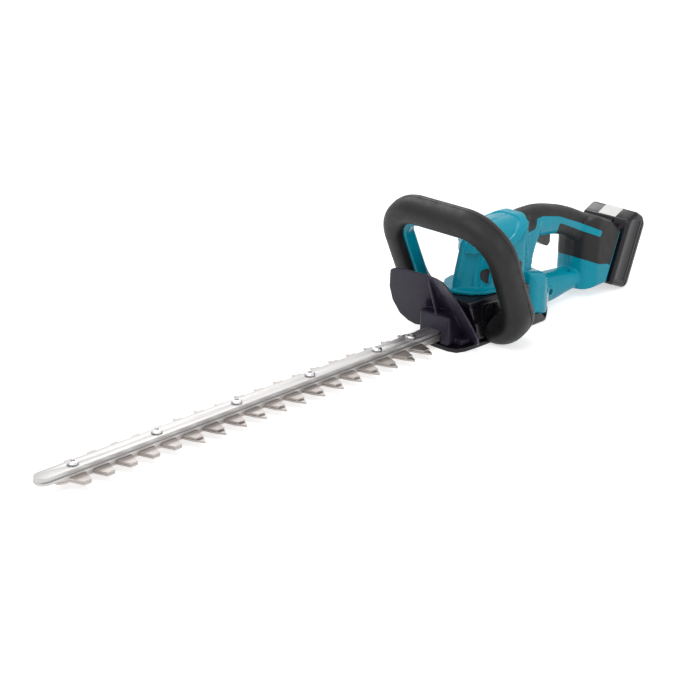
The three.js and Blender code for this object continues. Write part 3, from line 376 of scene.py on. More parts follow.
def oblong(x0, x1, z0, z1, radius=0):
    """The outline of a rectangle with rounded corners."""
    return [[x0, z0, radius], [x1, z0, radius], [x1, z1, radius], [x0, z1, radius]]

def moved(mesh, x, y):
    """The same mesh, moved along the tool and across it."""
    return turned_to(mesh, Matrix.Translation((x, y, 0)))

def box(x0, x1, y0, y1, z0, z1):
    """A block between two limits along each axis."""
    form = bmesh.new()
    bmesh.ops.create_cube(form, size=1)
    bmesh.ops.scale(form, verts=form.verts[:], vec=(x1 - x0, y1 - y0, z1 - z0))
    middle = ((x0 + x1) / 2, (y0 + y1) / 2, (z0 + z1) / 2)
    bmesh.ops.translate(form, verts=form.verts[:], vec=middle)
    return closed(form)

def pin(x, z, radius, start, end, sides=40):
    """A round bar across the tool, from Y = start to Y = end."""
    form = bmesh.new()
    bmesh.ops.create_cone(form, cap_ends=True, segments=sides, radius1=radius, radius2=radius,
                          depth=end - start)
    mesh = turned_to(closed(form), to_side)
    return turned_to(mesh, Matrix.Translation((x, (start + end) / 2, z)))

# %% [markdown]
# Mouldings also meet, cut and trim one another. A Boolean modifier does that on finished
# solids, and its manifold solver is quick and leaves them closed. Where two forms should
# flow into each other, as a handle does into its root, a voxel Remesh wraps both in one
# even skin and a Smooth modifier rounds the crease between them. The modifiers are
# applied at once, so what is left is plain mesh.

# %% Solids worked with modifiers
def worked(mesh, steps):
    """The mesh after each modifier in steps, which are a type and its settings."""
    obj = bpy.data.objects.new("work", mesh)
    bpy.context.scene.collection.objects.link(obj)
    for kind, settings in steps:
        modifier = obj.modifiers.new(kind, kind)
        for name, value in settings.items():
            setattr(modifier, name, value)
    bpy.context.view_layer.update()
    seen = obj.evaluated_get(bpy.context.evaluated_depsgraph_get())
    result = bpy.data.meshes.new_from_object(seen)
    bpy.data.objects.remove(obj)
    return result

def combined(operation, mesh, tools):
    """The mesh after one Boolean with each tool in turn."""
    helpers = []
    for tool in tools:
        helper = bpy.data.objects.new("tool", tool)
        bpy.context.scene.collection.objects.link(helper)
        helpers.append(helper)
    steps = [("BOOLEAN", {"operation": operation, "object": helper, "solver": 'MANIFOLD'})
             for helper in helpers]
    result = worked(mesh, steps)
    for helper in helpers:
        bpy.data.objects.remove(helper)
    return result

def cut(mesh, *tools):
    return combined('DIFFERENCE', mesh, tools)

def joined(mesh, *tools):
    return combined('UNION', mesh, tools)

def crossed(mesh, *tools):
    return combined('INTERSECT', mesh, tools)

def heap(*meshes):
    """Several closed meshes in one, still overlapping."""
    form = bmesh.new()
    for mesh in meshes:
        form.from_mesh(mesh)
    result = bpy.data.meshes.new("work")
    form.to_mesh(result)
    form.free()
    return result

def whole(mesh):
    """The largest connected part of a mesh, without the specks that a cut may leave."""
    form = bmesh.new()
    form.from_mesh(mesh)
    left, parts = set(form.faces), []
    while left:
        reached, part = [left.pop()], []
        while reached:
            face = reached.pop()
            part.append(face)
            near = {other for edge in face.edges for other in edge.link_faces} & left
            left -= near
            reached += near
        parts.append(part)
    parts.sort(key=len)
    specks = [face for part in parts[:-1] for face in part]
    bmesh.ops.delete(form, geom=specks, context='FACES')
    return closed(form)

def blended(mesh, voxel, rounds):
    """One skin around overlapping forms, with its creases smoothed."""
    return worked(mesh, [
        ("REMESH", {"mode": 'VOXEL', "voxel_size": voxel, "adaptivity": 0}),
        ("SMOOTH", {"factor": 0.5, "iterations": rounds}),
    ])

def shrunk(mesh, depth, voxel):
    """The same form with its skin moved inwards by depth."""
    return worked(mesh, [
        ("DISPLACE", {"direction": 'NORMAL', "strength": -depth, "mid_level": 0}),
        ("REMESH", {"mode": 'VOXEL', "voxel_size": voxel, "adaptivity": 0}),
    ])

def edged(mesh, width, segments, angle=40):
    """The mesh with every edge sharper than the angle rounded by a Bevel modifier."""
    return worked(mesh, [("BEVEL", {"width": width, "segments": segments, "limit_method": 'ANGLE',
                                    "angle_limit": math.radians(angle), "use_clamp_overlap": True})])

# %% [markdown]
# A piece is finished in four moves: it is scaled to metres, its faces are shaded smooth
# with creases kept sharp, it gets its slot's finish, and it is named after the node it
# stands for, which is hidden, and parented to the body it rides on. A label is an extra
# piece that stands for no node.

# %% Finished pieces
def finished(mesh, node, sharp=32):
    """Makes a mesh in millimetres the piece that stands for a node."""
    mesh.transform(Matrix.Scale(mm, 4))
    mesh.shade_smooth()
    mesh.set_sharp_from_angle(angle=math.radians(sharp))
    mesh.materials.clear()
    mesh.materials.append(finishes[slot_of[node]])
    mesh.name = node + "_finished"
    obj = bpy.data.objects.new(mesh.name, mesh)
    bpy.context.scene.collection.objects.link(obj)
    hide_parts(node)
    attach(obj, body_of[node])
    triangles = sum(len(face.vertices) - 2 for face in mesh.polygons)
    print(node, triangles, "triangles")
    return obj

def label(mesh, name, body):
    """A blank label that rides on a body."""
    mesh.transform(Matrix.Scale(mm, 4))
    mesh.materials.clear()
    mesh.materials.append(finishes["label"])
    obj = bpy.data.objects.new(name, mesh)
    bpy.context.scene.collection.objects.link(obj)
    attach(obj, body)
    print(name, len(mesh.polygons), "faces")

# %% [markdown]
# Some parts are right as they are but for their hard edges: stamped steel, machined
# bars, small fittings. The frame's mesh of such a part is loose triangles, so a copy is
# merged, its flat facets are joined, and its edges get the small rounding that a real
# part has from its mould or its tumbling.

# %% Frame parts, merged and with rounded edges
def merged(node):
    """A copy of a node in millimetres, with its triangles joined up."""
    form = bmesh.new()
    form.from_mesh(nodes[node].data)
    bmesh.ops.scale(form, verts=form.verts[:], vec=(1 / mm,) * 3)
    bmesh.ops.remove_doubles(form, verts=form.verts[:], dist=0.002)
    return closed(form)

def softened(node, width, sharp=30, steps=2):
    """A copy of a node in millimetres, merged, with its hard edges rounded."""
    form = bmesh.new()
    form.from_mesh(merged(node))
    bmesh.ops.dissolve_limit(form, angle_limit=math.radians(0.5), verts=form.verts[:],
                             edges=form.edges[:])
    hard = [edge for edge in form.edges if edge.is_manifold
            and edge.calc_face_angle(0) > math.radians(sharp)]
    bmesh.ops.bevel(form, geom=hard, offset=width, offset_type='OFFSET', segments=steps,
                    profile=0.5, affect='EDGES', material=-1, clamp_overlap=True)
    return closed(form)

# %% [markdown]
# The front handle is a tube bent into a leaning loop, moulded as a front and a rear half
# that meet behind the tube's middle. It could be a curve with a bevel. A section carried
# along the loop by extrusions stays in a bmesh instead, whose vertices can still be moved
# to spread the feet. The section is a circle, flattened and a little squared.

# %% A section carried along a bent line
def bent_line(corners, arc_step=4, straight_step=6):
    """Places and headings along a line whose corners [y, w, radius] are arcs."""
    points = [Vector(corner[:2]) for corner in corners]
    stations = []
    last = points[0]
    for i in range(1, len(points)):
        here = points[i]
        heading = (here - last).normalized()
        radius = corners[i][2] if i < len(points) - 1 else 0
        turn = heading.angle_signed((points[i + 1] - here).normalized()) if radius else 0
        start = here - heading * radius * math.tan(abs(turn) / 2)
        pieces = max(1, round((start - last).length / straight_step))
        stations += [(last.lerp(start, k / pieces), heading) for k in range(pieces)]
        side = math.copysign(1, turn)
        centre = start + side * radius * Vector((heading.y, -heading.x))
        steps = round(abs(math.degrees(turn)) / arc_step)
        for k in range(steps):
            around = Matrix.Rotation(-turn * k / steps, 2)
            stations.append((centre + around @ (start - centre), around @ heading))
        last = here
        if radius:
            last = here + (points[i + 1] - here).normalized() * radius * math.tan(abs(turn) / 2)
    return stations + [(last, heading)]

def squared_circle(radius_x, radius_y, power, sides=48):
    """A round face whose sides are flattened as the power rises above 2."""
    form = bmesh.new()
    bmesh.ops.create_circle(form, cap_ends=True, radius=1, segments=sides)
    for vert in form.verts:
        angle = math.atan2(vert.co.y, vert.co.x)
        reach = (abs(math.cos(angle)) ** power + abs(math.sin(angle)) ** power) ** (-1 / power)
        vert.co = Vector((math.cos(angle) * reach * radius_x, math.sin(angle) * reach * radius_y, 0))
    return form

def carried(section, frames):
    """Extrudes a closed section from each frame to the next, and keeps both end faces."""
    bmesh.ops.transform(section, matrix=frames[0], verts=section.verts[:])
    first = end = section.faces[:][0]
    for before, after in zip(frames, frames[1:]):
        made = bmesh.ops.extrude_face_region(section, geom=[end])
        if end is not first:
            bmesh.ops.delete(section, geom=[end], context='FACES_ONLY')
        end = [part for part in made["geom"] if isinstance(part, bmesh.types.BMFace)][0]
        bmesh.ops.transform(section, matrix=after @ before.inverted(), verts=end.verts[:])
    return section

def swept(section, line):
    """Carries a section in x (across) and y (outwards) along the loop's line."""
    frames = []
    for (y, w), heading in line:
        frames.append(Matrix(((1, 0, 0, 0), (0, -heading.y, heading.x, y),
                              (0, heading.x, heading.y, w), (0, 0, 0, 1))))
    return carried(section, frames)

# %% [markdown]
# The loop's line is a rounded rectangle in its own upright plane, and one matrix leans
# it forward about its foot. Its width comes from the frame. `far` is a length that
# reaches past everything, for blocks that cut, and `seat_gap` is the clearance between
# seated parts.

# %% The loop's line and lean
far = 400
seat_gap = 0.3
loop_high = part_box("front_handle_front")[1] / mm
tube_across, tube_depth = 32, 36
loop_lean = math.atan(0.448)
loop_foot = 5
loop_half = loop_high.y - tube_across / 2
loop_top, loop_bottom = 179.4, 20
loop_bend, foot_bend = 48, 40
foot_reach = 40 + seat_gap
loop_line = bent_line([
    (-foot_reach, loop_bottom), (-loop_half, loop_bottom, foot_bend),
    (-loop_half, loop_top, loop_bend), (loop_half, loop_top, loop_bend),
    (loop_half, loop_bottom, foot_bend), (foot_reach, loop_bottom),
])
lean = Matrix.Translation((loop_foot, 0, 0)) @ Matrix.Rotation(-loop_lean, 4, 'Y')
print(len(loop_line), "stations around the loop")

# %% [markdown]
# One function makes the tube at any thickness, because the same tube, thinner by the
# wall, is later taken out of it to leave a shell. Towards its feet the tube is spread
# along the tool, as the real one is where it clasps the gear case.

# %% The tube, solid
tube_power = 2.5
foot_rise, foot_spread = 78, 0.32

def tube_solid(shrink):
    """The loop's tube, thinner all round by shrink, spread towards its feet."""
    section = squared_circle(tube_depth / 2 - shrink, tube_across / 2 - shrink, tube_power)
    form = swept(section, loop_line)
    for vert in form.verts:
        low = min(1.0, max(0.0, (foot_rise - vert.co.z) / (foot_rise - loop_bottom)))
        vert.co.x *= 1 + foot_spread * low * low * (3 - 2 * low)
    return turned_to(closed(form), lean)

print("tube", tube_across, "mm by", tube_depth, "mm")

# %% [markdown]
# The switch lever follows the inside of the loop and comes through a slot there. Lever
# and slot are the same bent bar, the slot's a little larger, so one function makes both.

# %% The lever's bar and its slot
lever_foot, lever_top_inset, lever_fit = 62, 15, 1

def lever_bar(width, depth, edge, inset, foot):
    """The safety lever's bar, which follows the inside of the loop."""
    side, top, bend = loop_half - inset, loop_top - inset, loop_bend - inset
    line = bent_line([(-side, foot), (-side, top, bend), (side, top, bend), (side, foot)])
    section = drawn(oblong(-width / 2, width / 2, -depth / 2, depth / 2, edge))
    return turned_to(closed(swept(section, line)), lean)

lever_slot = lever_bar(17, 21, 0, lever_top_inset + lever_fit, lever_foot - 1.5)
print("lever slot", len(lever_slot.polygons), "faces")

# %% [markdown]
# The halves are cut from the tube by a plane behind its middle. The cut's rim is
# rounded, so that the two halves meet in a fine V-shaped groove, as moulded shells do.

# %% Cut the tube into its halves
loop_wall, half_seam, seam_round = 3, 0.15, 1.3
seam = 5
base_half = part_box("base_plate")[1].y / mm
plate_room = box(-far, far, -base_half - seat_gap, base_half + seat_gap, -1, 5 + seat_gap)
under_tool = box(-far, far, -far, far, -far, 1)

def half_tube(start, end, rim_level):
    """The tube between two distances, with the edges at rim_level rounded."""
    form = bmesh.new()
    form.from_mesh(crossed(tube_solid(0), turned_to(box(start, end, -far, far, -far, far), lean)))
    unlean = lean.inverted()
    rims = [edge for edge in form.edges if edge.is_manifold and edge.calc_face_angle(0) > 0.6
            and all(abs((unlean @ vert.co).x - rim_level) < 0.05 for vert in edge.verts)]
    bmesh.ops.bevel(form, geom=rims, offset=seam_round, offset_type='OFFSET', segments=3,
                    profile=0.5, affect='EDGES', material=-1, clamp_overlap=False)
    return closed(form)

halves = {
    "front_handle_front": half_tube(-far, seam - half_seam, seam - half_seam),
    "front_handle_rear": half_tube(seam + half_seam, far, seam + half_seam),
}
for node, half in halves.items():
    shell = cut(half, tube_solid(loop_wall), lever_slot, plate_room, under_tool)
    finished(whole(shell), node)

# %% [markdown]
# The lever itself has rounded edges and stands out of its slot, so that a hand around
# the tube squeezes it in.

# %% The safety lever
lever = lever_bar(16, 12, 3.5, lever_top_inset, lever_foot)
finished(lever, "front_switch_lever")

# %% [markdown]
# The motor housing is a barrel with an arched crown, a leaning nose and sides that draw
# in towards the rear. It is the space that a side outline, a front arch and a plan have
# in common, so each is made a solid and the three are crossed. The nose is a plan that
# is sheared backwards as it rises.

# %% The pod: side, arch, plan and nose crossed
pod_rear, pod_half, pod_top, case_top = 90, 36, 140, 60
pod_bottom = case_top - 8
grip_half = 17
rib_front = [(-42, 62), (-40, 78), (-28, 121)]
nose_front = [(x + 6, z) for x, z in rib_front]
nose_slope = (nose_front[2][0] - nose_front[1][0]) / (nose_front[2][1] - nose_front[1][1])

def pod(grow):
    """The barrel, larger all round by grow."""
    side = slab([
        [nose_front[0][0] - grow, pod_bottom], [nose_front[1][0] - grow, 78],
        [nose_front[2][0] - grow, 121 + grow], [nose_front[2][0] + 12, pod_top - 7 + grow, 14],
        [20, pod_top + grow, 20], [pod_rear - 3, pod_top + grow, 8],
        [pod_rear + grow, pod_top - 20, 6], [pod_rear + grow, pod_bottom],
    ], pod_half + 10)
    plan = plate(both_sides([
        [-100, -pod_half - grow], [54, -pod_half - grow, 16],
        [pod_rear + 2 + grow, -grip_half + 2 - grow, 12],
    ]), -5, pod_top + 20)
    half, top = pod_half + grow, pod_top + grow
    vault = arch([
        [half, 0], [half, top - 14, 24], [half - 22, top, 24],
        [-half + 22, top, 24], [-half, top - 14, 24], [-half, 0],
    ], -100, 200)
    front_x, front_z = nose_front[1]
    front = plate(both_sides([
        [front_x - grow, -3 - 0.4 * grow, 3], [front_x + 9 - 0.8 * grow, -13 - 0.8 * grow, 10],
        [front_x + 26 - 0.5 * grow, -29 - grow, 14], [front_x + 45, -pod_half - grow, 10],
        [200, -pod_half - grow],
    ]), case_top - 30, pod_top + 30)
    shear = Matrix.Identity(4)
    shear[0][2] = nose_slope
    shear[0][3] = -nose_slope * front_z
    return crossed(side, plan, vault, turned_to(front, shear))

# %% [markdown]
# The rear handle is a ring: a grip above, a block behind that carries the battery, and a
# limb below that runs back to the base. Grip and limb are bars whose height changes all
# the way along while their section stays the same squared oval. A sweep with one fixed
# section can't do that, so each bar is lofted: an oval is extruded from station to
# station and stretched to the height that the station asks for.

# %% A bar lofted through its stations
def eased(stations, step=4):
    """Stations [x, low, high, half width], filled in by a curve through them all."""
    filled = []
    points = [Vector(station) for station in stations]
    padded = [points[0], *points, points[-1]]
    for a, b, c, d in zip(padded, padded[1:], padded[2:], padded[3:]):
        pieces = max(1, round((c - b).length / step))
        for k in range(pieces):
            t = k / pieces
            filled.append(0.5 * (2 * b + (c - a) * t + (2 * a - 5 * b + 4 * c - d) * t ** 2
                                 + (3 * b - a - 3 * c + d) * t ** 3))
    return filled + [points[-1]]

def lofted(stations, power=2.5):
    """A bar along the tool through stations [x, low, high, half width]."""
    form = squared_circle(1, 1, power)
    bmesh.ops.transform(form, matrix=to_front, verts=form.verts[:])
    places = []
    for x, low, high, half in eased(stations):
        size = Matrix.Diagonal((1, half, (high - low) / 2, 1))
        places.append(Matrix.Translation((x, 0, (low + high) / 2)) @ size)
    return closed(carried(form, places))

# %% [markdown]
# The battery's face leans, so whatever belongs to it is drawn in its own two directions,
# `s` out of the face and `t` up along it, and `along_mount` turns those into x and z.
# The stations of grip and limb give x, the lower and the upper edge, and half the width.

# %% The grip, the limb and the block
mount_tilt = math.atan2(0.365, 0.931)
mount_face, block_front, block_half = 213, 189, 32
mount_line = mount_face - seat_gap

def along_mount(s, t):
    """A point s along the normal of the battery's face and t up the face."""
    return (s * math.cos(mount_tilt) + t * math.sin(mount_tilt),
            t * math.cos(mount_tilt) - s * math.sin(mount_tilt))

grip_stations = [
    (62, 92, 139, 17), (82, 97, 141, 17), (100, 99.5, 141.2, 17), (112, 99, 140.8, 17),
    (126, 97.5, 138.8, 17), (140, 95.8, 135.8, 17), (154, 93, 132.2, 17), (166, 88.8, 128.8, 17),
    (180, 82, 123.9, 17), (192, 76, 118.9, 18), (208, 70, 111.6, 20), (226, 62, 103.6, 22),
]
limb_stations = [
    (80, 5, 55, 19), (96, 4.5, 50.5, 18.5), (112, 4.2, 47.8, 18), (130, 3.6, 45.3, 17.5),
    (150, 4.2, 43, 17), (170, 7.8, 40.9, 17), (188, 10.4, 39.2, 17.5), (206, 12, 39.4, 20),
    (222, 13, 42, 23),
]
column_side = [
    [60, 45], [60, 130], [112, 130, 8], [106, 103.5, 5], [98.5, 97, 8], [93, 82, 20], [90, 62, 20],
    [92.5, 51, 8], [102, 47], [102, 42],
]
block_side = [
    [150, 60], [206, 112.5, 20], [240, 98, 14], [*along_mount(mount_line, 170), 5],
    [*along_mount(mount_line, 97), 3], [205, 12, 14], [180, 10],
]
block_plan = both_sides([
    [block_front, -8, 6], [block_front + 4, -22, 14], [block_front + 20, -block_half, 12],
    [300, -block_half - 3],
])

def ring():
    """Grip, limb, block and the column behind the barrel, laid into one another."""
    block = crossed(slab(block_side, block_half + 2, 10), plate(block_plan, -far, far))
    column = slab(column_side, grip_half + 1, 8)
    return heap(lofted(grip_stations), lofted(limb_stations), block, column)

print(len(grip_stations), "stations in the grip and", len(limb_stations), "in the limb")

# %% [markdown]
# The tail is the foot of the housing, which fills out the body behind the gear case and
# draws in to the limb. All the forms are then wrapped in one skin, with the ribs beside
# the nose, so that those are as soft as the rest. The crown's rim is a raised band that
# sweeps round the rear of the barrel. It is drawn here and gets a finer skin of its own,
# and it is joined on after the hollow is made, so that its edge stays crisp.

# %% Tail, crown rim and nose ribs
tail_rear, tail_half, case_rear, rim_low = 121, 40, 61, 4

def tail():
    """The housing's foot, a side outline and a plan crossed."""
    side = slab([
        [case_rear + seat_gap, 72], [case_rear + seat_gap, rim_low + seat_gap],
        [tail_rear - 4, rim_low + seat_gap, 3], [tail_rear + 8, 14, 6], [tail_rear + 6, 32, 12],
        [tail_rear - 9, 50, 20], [94, 64, 14],
    ], tail_half, 13)
    plan = plate(both_sides([
        [case_rear - 20, -tail_half], [94, -tail_half, 22],
        [tail_rear + 4, -grip_half - 2, 12], [tail_rear + 16, -grip_half - 1],
    ]), -5, pod_top)
    return crossed(side, plan)

crown_rim = [
    [-90, 105], [-20, 108], [16, 113.5, 10], [38, 120, 14], [58, 130, 16], [73, 142, 10],
    [76, 150], [76, 190], [-90, 190],
]
rim_inside = [[x - 4.5, z + 7, *rest] for x, z, *rest in crown_rim]
barrel = crossed(pod(0), slab(crown_rim, far))
rim_band = cut(crossed(pod(2), slab(crown_rim, far)), slab(rim_inside, far), pod(-1.5))

def nose_band(start, end):
    """A raised rib that follows the nose between two distances behind it."""
    ahead = [[x + start, z] for x, z in rib_front[1:]]
    behind = [[x + end, z] for x, z in reversed(rib_front[1:])]
    foot = rib_front[0][0]
    return crossed(pod(-1.6), slab([[foot + start, 64], *ahead, *behind, [foot + end, 64]], far))

ribs = [nose_band(start, start + 5) for start in (19, 34)]
seam_rib = crossed(
    slab([*[[x + 0.3, z] for x, z in rib_front], [rib_front[2][0] + 14, pod_top - 4, 12],
          [10, pod_top + 1, 8], [40, pod_top + 1, 4], [40, 100], [0, 62]], 3.5, 1),
    box(-80, 50, -9, 9, case_top + seat_gap, 160))
lip_front = rib_front[0][0] - 2.2
lip = plate(both_sides([
    [lip_front, -3, 2], [lip_front + 9, -22, 8], [lip_front + 25, -34, 10],
    [-4, -pod_half - 1.3, 8], [14, -pod_half],
]), case_top + seat_gap, case_top + seat_gap + 5, 1)
boss_x, boss_z, boss_ring = 129, 24, 7.5
boss = pin(boss_x, boss_z, boss_ring, -grip_half - 2.8, grip_half + 2.8)

outer = blended(heap(barrel, pod(-2.6), tail(), ring(), *ribs, seam_rib, lip, boss), 1.05, 9)
print("outside skin:", len(outer.polygons), "faces")

# %% [markdown]
# The skin is hollowed as a moulding is: a copy, shrunk by the wall, is taken out, and
# posts for the screws are left standing in it. The soft grips lie in a shallow recess.
# A side outline says where they go, and a copy shrunk by their thickness is their floor.

# %% Hollow, screw posts and the grips' recess
wall, grip_skin = 3, 2
screws = [(boss_x, boss_z, -1), (78, 84, 1), (-4, 112, 1), (158, 110, 1), (206, 34, 1)]
posts = [pin(x, z, 5.5, -far, far) for x, z, _ in screws]

def mount_block(s0, s1, t0, t1, half):
    """A block set square to the battery's mount face."""
    return slab([[*along_mount(s0, t0)], [*along_mount(s0, t1)], [*along_mount(s1, t1)],
                 [*along_mount(s1, t0)]], half)

slot_floor = mount_face - 9 - seat_gap
mount_wall = mount_block(slot_floor - 3, mount_face, -far, far, far)
hollow = cut(shrunk(outer, wall + 1.2, 1.8), *posts, mount_wall)
grip_floor = shrunk(outer, grip_skin, 1.4)
print("hollow:", len(hollow.polygons), "faces")

skin_edge = [
    [75, 160], [75, 118, 3], [78, 115.5, 2], [92, 116.5, 3], [97, 129, 4], [110, 129.5, 8],
    [142, 122.5, 10], [186, 104.5, 8], [216, 89.5, 2], [212, 82, 2], [187, 93.5, 6], [160, 106, 4],
    [143, 113, 3], [143.5, 80], [165, 66], [186, 56.5, 6], [213, 45, 10], [230, 42, 8],
    [*along_mount(mount_face - 7, 122)], [*along_mount(mount_face - 7, 230)], [75, 230],
]
skin_area = cut(slab(skin_edge, far), crossed(pod(1.7), slab(crown_rim, far)))
grips = crossed(cut(outer, grip_floor), skin_area)

def widened(mesh, width):
    """The mesh with its skin moved outwards."""
    return worked(mesh, [("DISPLACE", {"direction": 'NORMAL', "strength": width, "mid_level": 0})])

# %% [markdown]
# The rest of the cuts are crisp: the channel that the battery's rails slide in, the slot
# of the trigger, the room for the gear case, the hem over the bumper, the screw holes, and
# the parting line in the middle. One function parts a mesh there into its two pieces.

# %% Cut the housing's openings
rail_slot = joined(mount_block(slot_floor, mount_face - 5.4, 105.7, 240, 28.3),
                   mount_block(mount_face - 6.4, mount_face + 5, 105.7, 240, 24.3))
trigger_slot = box(105, 141.5, -8.5, 8.5, 80.5, 108)
terminal_gap = mount_block(slot_floor - 10, slot_floor + 2, 115.7, 138.3, 15.3)
under_front = box(-far, case_rear + seat_gap, -far, far, -far, case_top + seat_gap)
wave = [[78, 14, 4], [85, 11, 4], [91, 4, 3], [97, 4, 3], [103, 9, 4]]
bumper_rear = 119
hem = slab([
    [0, -20], [0, 14 + seat_gap], *[[x, z + seat_gap, radius] for x, z, radius in wave],
    [bumper_rear + seat_gap, 9 + seat_gap], [bumper_rear + seat_gap, -20],
], far)
limb_hole = moved(box(-3.5, 3.5, -2, 2, 30, 60), 178, -9)
head_hole, shank_hole = 4, 2.3
screw_holes = []
for x, z, side in screws:
    screw_holes.append(pin(x, z, head_hole, *sorted((side * 11, side * far))))
    screw_holes.append(pin(x, z, shank_hole, -14, 14))
outer = joined(outer, blended(rim_band, 0.7, 4))
shell = cut(outer, hollow, hem, under_front, rail_slot, trigger_slot, terminal_gap, limb_hole)
grip_gap, label_top, label_under = 0.35, 0.35, 0.05
shell = cut(shell, cut(widened(skin_area, grip_gap), grip_floor))
shell = cut(shell, *screw_holes)
sides = {
    "left": box(-far, far, -far, -half_seam, -far, far),
    "right": box(-far, far, half_seam, far, -far, far),
}

def finished_sides(mesh, name):
    """Parts a mesh in the middle and finishes both pieces."""
    for side, space in sides.items():
        finished(crossed(mesh, space), f"{name}_{side}")

finished_sides(shell, "housing")
tail_film = cut(widened(outer, label_top), widened(outer, label_under))
label(crossed(tail_film, slab(oblong(100, 118, 12, 30, 3), far), sides["left"]), "tail_label", "body")
finished_sides(cut(grips, rail_slot), "grip_skin")

# %% [markdown]
# The hand guard is a sheet of smoked plastic with a crease down its middle: each wing
# leans forward as it rises and comes forward to its side. A front outline is given the
# sheet's thickness and then sheared twice, which leans and sweeps it in one matrix. A
# mirrored copy makes the other wing. Wings, rib and stem are wrapped in one skin, so
# that they meet in the small fillets that a mould has.

# %% The hand guard
guard_edge = [
    [-0.5, 94], [20, 98, 20], [35, 100, 14], [45, 96, 8], [49, 88, 6], [58.5, 67, 16],
    [64, 45, 14], [64, 24, 10], [58, 13, 6], [51, 8], [-0.5, 8],
]
guard_x, guard_lean, guard_sweep, guard_thick = -24, 0.65, 0.4, 3

def guard_at(y, z):
    """Where the guard's front face is at a width and a height."""
    return guard_x - guard_lean * z - guard_sweep * y

def guard_wing(side):
    """One wing, leant and swept; the other side's is its mirror image."""
    sheet = raised(drawn(guard_edge), -guard_thick, 0, 1.2, 3)
    place = Matrix(((-guard_sweep, -guard_lean, 1, guard_x), (1, 0, 0, 0), (0, 1, 0, 0), (0, 0, 0, 1)))
    mesh = turned_to(sheet, place)
    if side < 0:
        mesh.transform(Matrix.Diagonal((1, -1, 1, 1)))
    form = bmesh.new()
    form.from_mesh(mesh)
    return closed(form)

stem_front, stem_top, stem_half = -75, 42, 24
foot_front, neck_front, neck_top = -42, -70, 36
rib = slab([
    [guard_at(0, 92) + 1, 92], [guard_at(0, 92) - 4, 88, 4], [stem_front + 3, stem_top - 2],
    [stem_front + 12, stem_top - 2],
], 1.6)
stem = slab([
    [stem_front, 5.4], [stem_front, stem_top, 4], [foot_front, stem_top, 1], [foot_front, 5.4],
], stem_half, 2.5)
ears = [box(-62, guard_at(34, 13) + 12, y - 5, y + 5, 5.4, 13) for y in (-29, 29)]
guard = blended(heap(guard_wing(1), guard_wing(-1), rib, stem, *ears), 0.8, 3)
case_clear = [[foot_front - 0.4, 4.9], [foot_front - 0.4, 24], [-57.4, 54, 4], [-54, 60.4, 3],
              [61, 60.4, 3], [61, 4.9]]
guard = cut(
    guard, slab(case_clear, 40.4, 5), box(foot_front - 0.3, 0, -40.5, 40.5, 0, 40),
    box(neck_front - 0.3, 0, -20.3, 20.3, 0, neck_top + 0.3), box(-far, 0, -11.3, 11.3, 0, 20.6),
    box(-far, 0, -far, far, -1, 5.3))
finished(whole(guard), "hand_guard")

# %% [markdown]
# The gear case is a glossy casting-like box with many small steps: ledges near its top
# and at its front, and sunk panels between upright ribs on its flanks. The frame's case
# already holds the gears' room, so a copy keeps that inside, the panels are cut from it,
# and a Bevel modifier rounds every edge at once.

# %% The gear case
panel_spots = [(-46, -30, 30, 50), (-24, -8, 14, 50), (20, 34, 14, 50), (38, 52, 14, 50)]
panels = [moved(slab(oblong(*spot, 3), 6), 0, side * 44.4) for spot in panel_spots for side in (-1, 1)]
ledges = [moved(slab(oblong(-60, 70, 55.2, 53.6), 3), 0, side * 42.2) for side in (-1, 1)]
case_body = edged(cut(merged("gear_case"), *panels, *ledges), 0.6, 2, 38)
finished(case_body, "gear_case")
finished(softened("base_plate", 0.8), "base_plate")

# %% [markdown]
# The bumper is a rubber-like band around the rear foot. Its upper rim waves to meet the
# housing's hem. A plan gives it its round back, and a side outline with the wave trims it.

# %% The rear bumper
base_rear, base_width = 56, 42
bumper_plan = both_sides([
    [base_rear + seat_gap, -base_width], [92, -base_width, 16], [bumper_rear, -24, 14],
])
bumper = crossed(
    plate(bumper_plan, 0, 20, 2.5),
    slab([[base_rear, 0], [base_rear, 14], *wave, [128, 9], [128, 0]], 60))
bumper = cut(
    bumper,
    plate(both_sides([[67, -base_width + 7], [88, -base_width + 7, 10], [112, -20, 8]]), 4, 30),
    box(base_rear - 1, case_rear + seat_gap, -base_width, base_width, 5, 30))
finished(edged(bumper, 0.7, 3), "rear_bumper")

# %% [markdown]
# The battery is a wide, flat pack that slides down onto the rear of the tool. Its side
# outline is drawn along the mount's face, with the ends rounded. A groove and a sunk
# panel break up each flank, and three grip grooves cross the back, as on packs of this
# kind. Its depth follows from the two rows of cells inside and the wall.

# %% The battery's outline and shell
pack_wall, cell_radius, half_pitch = 2.4, 8.8, 8.95
pack_depth = 2 * (pack_wall + cell_radius + half_pitch + seat_gap)
pack_low, pack_high, pack_half = 97, 199, 37.5
pack_back = mount_face + pack_depth

def pack_outline(grow):
    """The pack's side outline, larger all round by grow."""
    return [[*along_mount(s, t), radius] for s, t, radius in (
        (mount_face - grow, pack_low - grow, 5), (pack_back + grow, pack_low - grow, 10),
        (pack_back + grow, pack_high - 12, 11), (pack_back - 9, pack_high - 3 + grow, 6),
        (mount_face + 16, pack_high + grow, 6), (mount_face - grow, 183, 5))]

pack = slab(pack_outline(0), pack_half, 4.5, 6)
pack_room = slab(pack_outline(-pack_wall), pack_half - pack_wall, 2.5)

def pack_block(s0, s1, t0, t1, half):
    """A block between two distances behind the mount's face."""
    return mount_block(mount_face + s0, mount_face + s1, t0, t1, half)

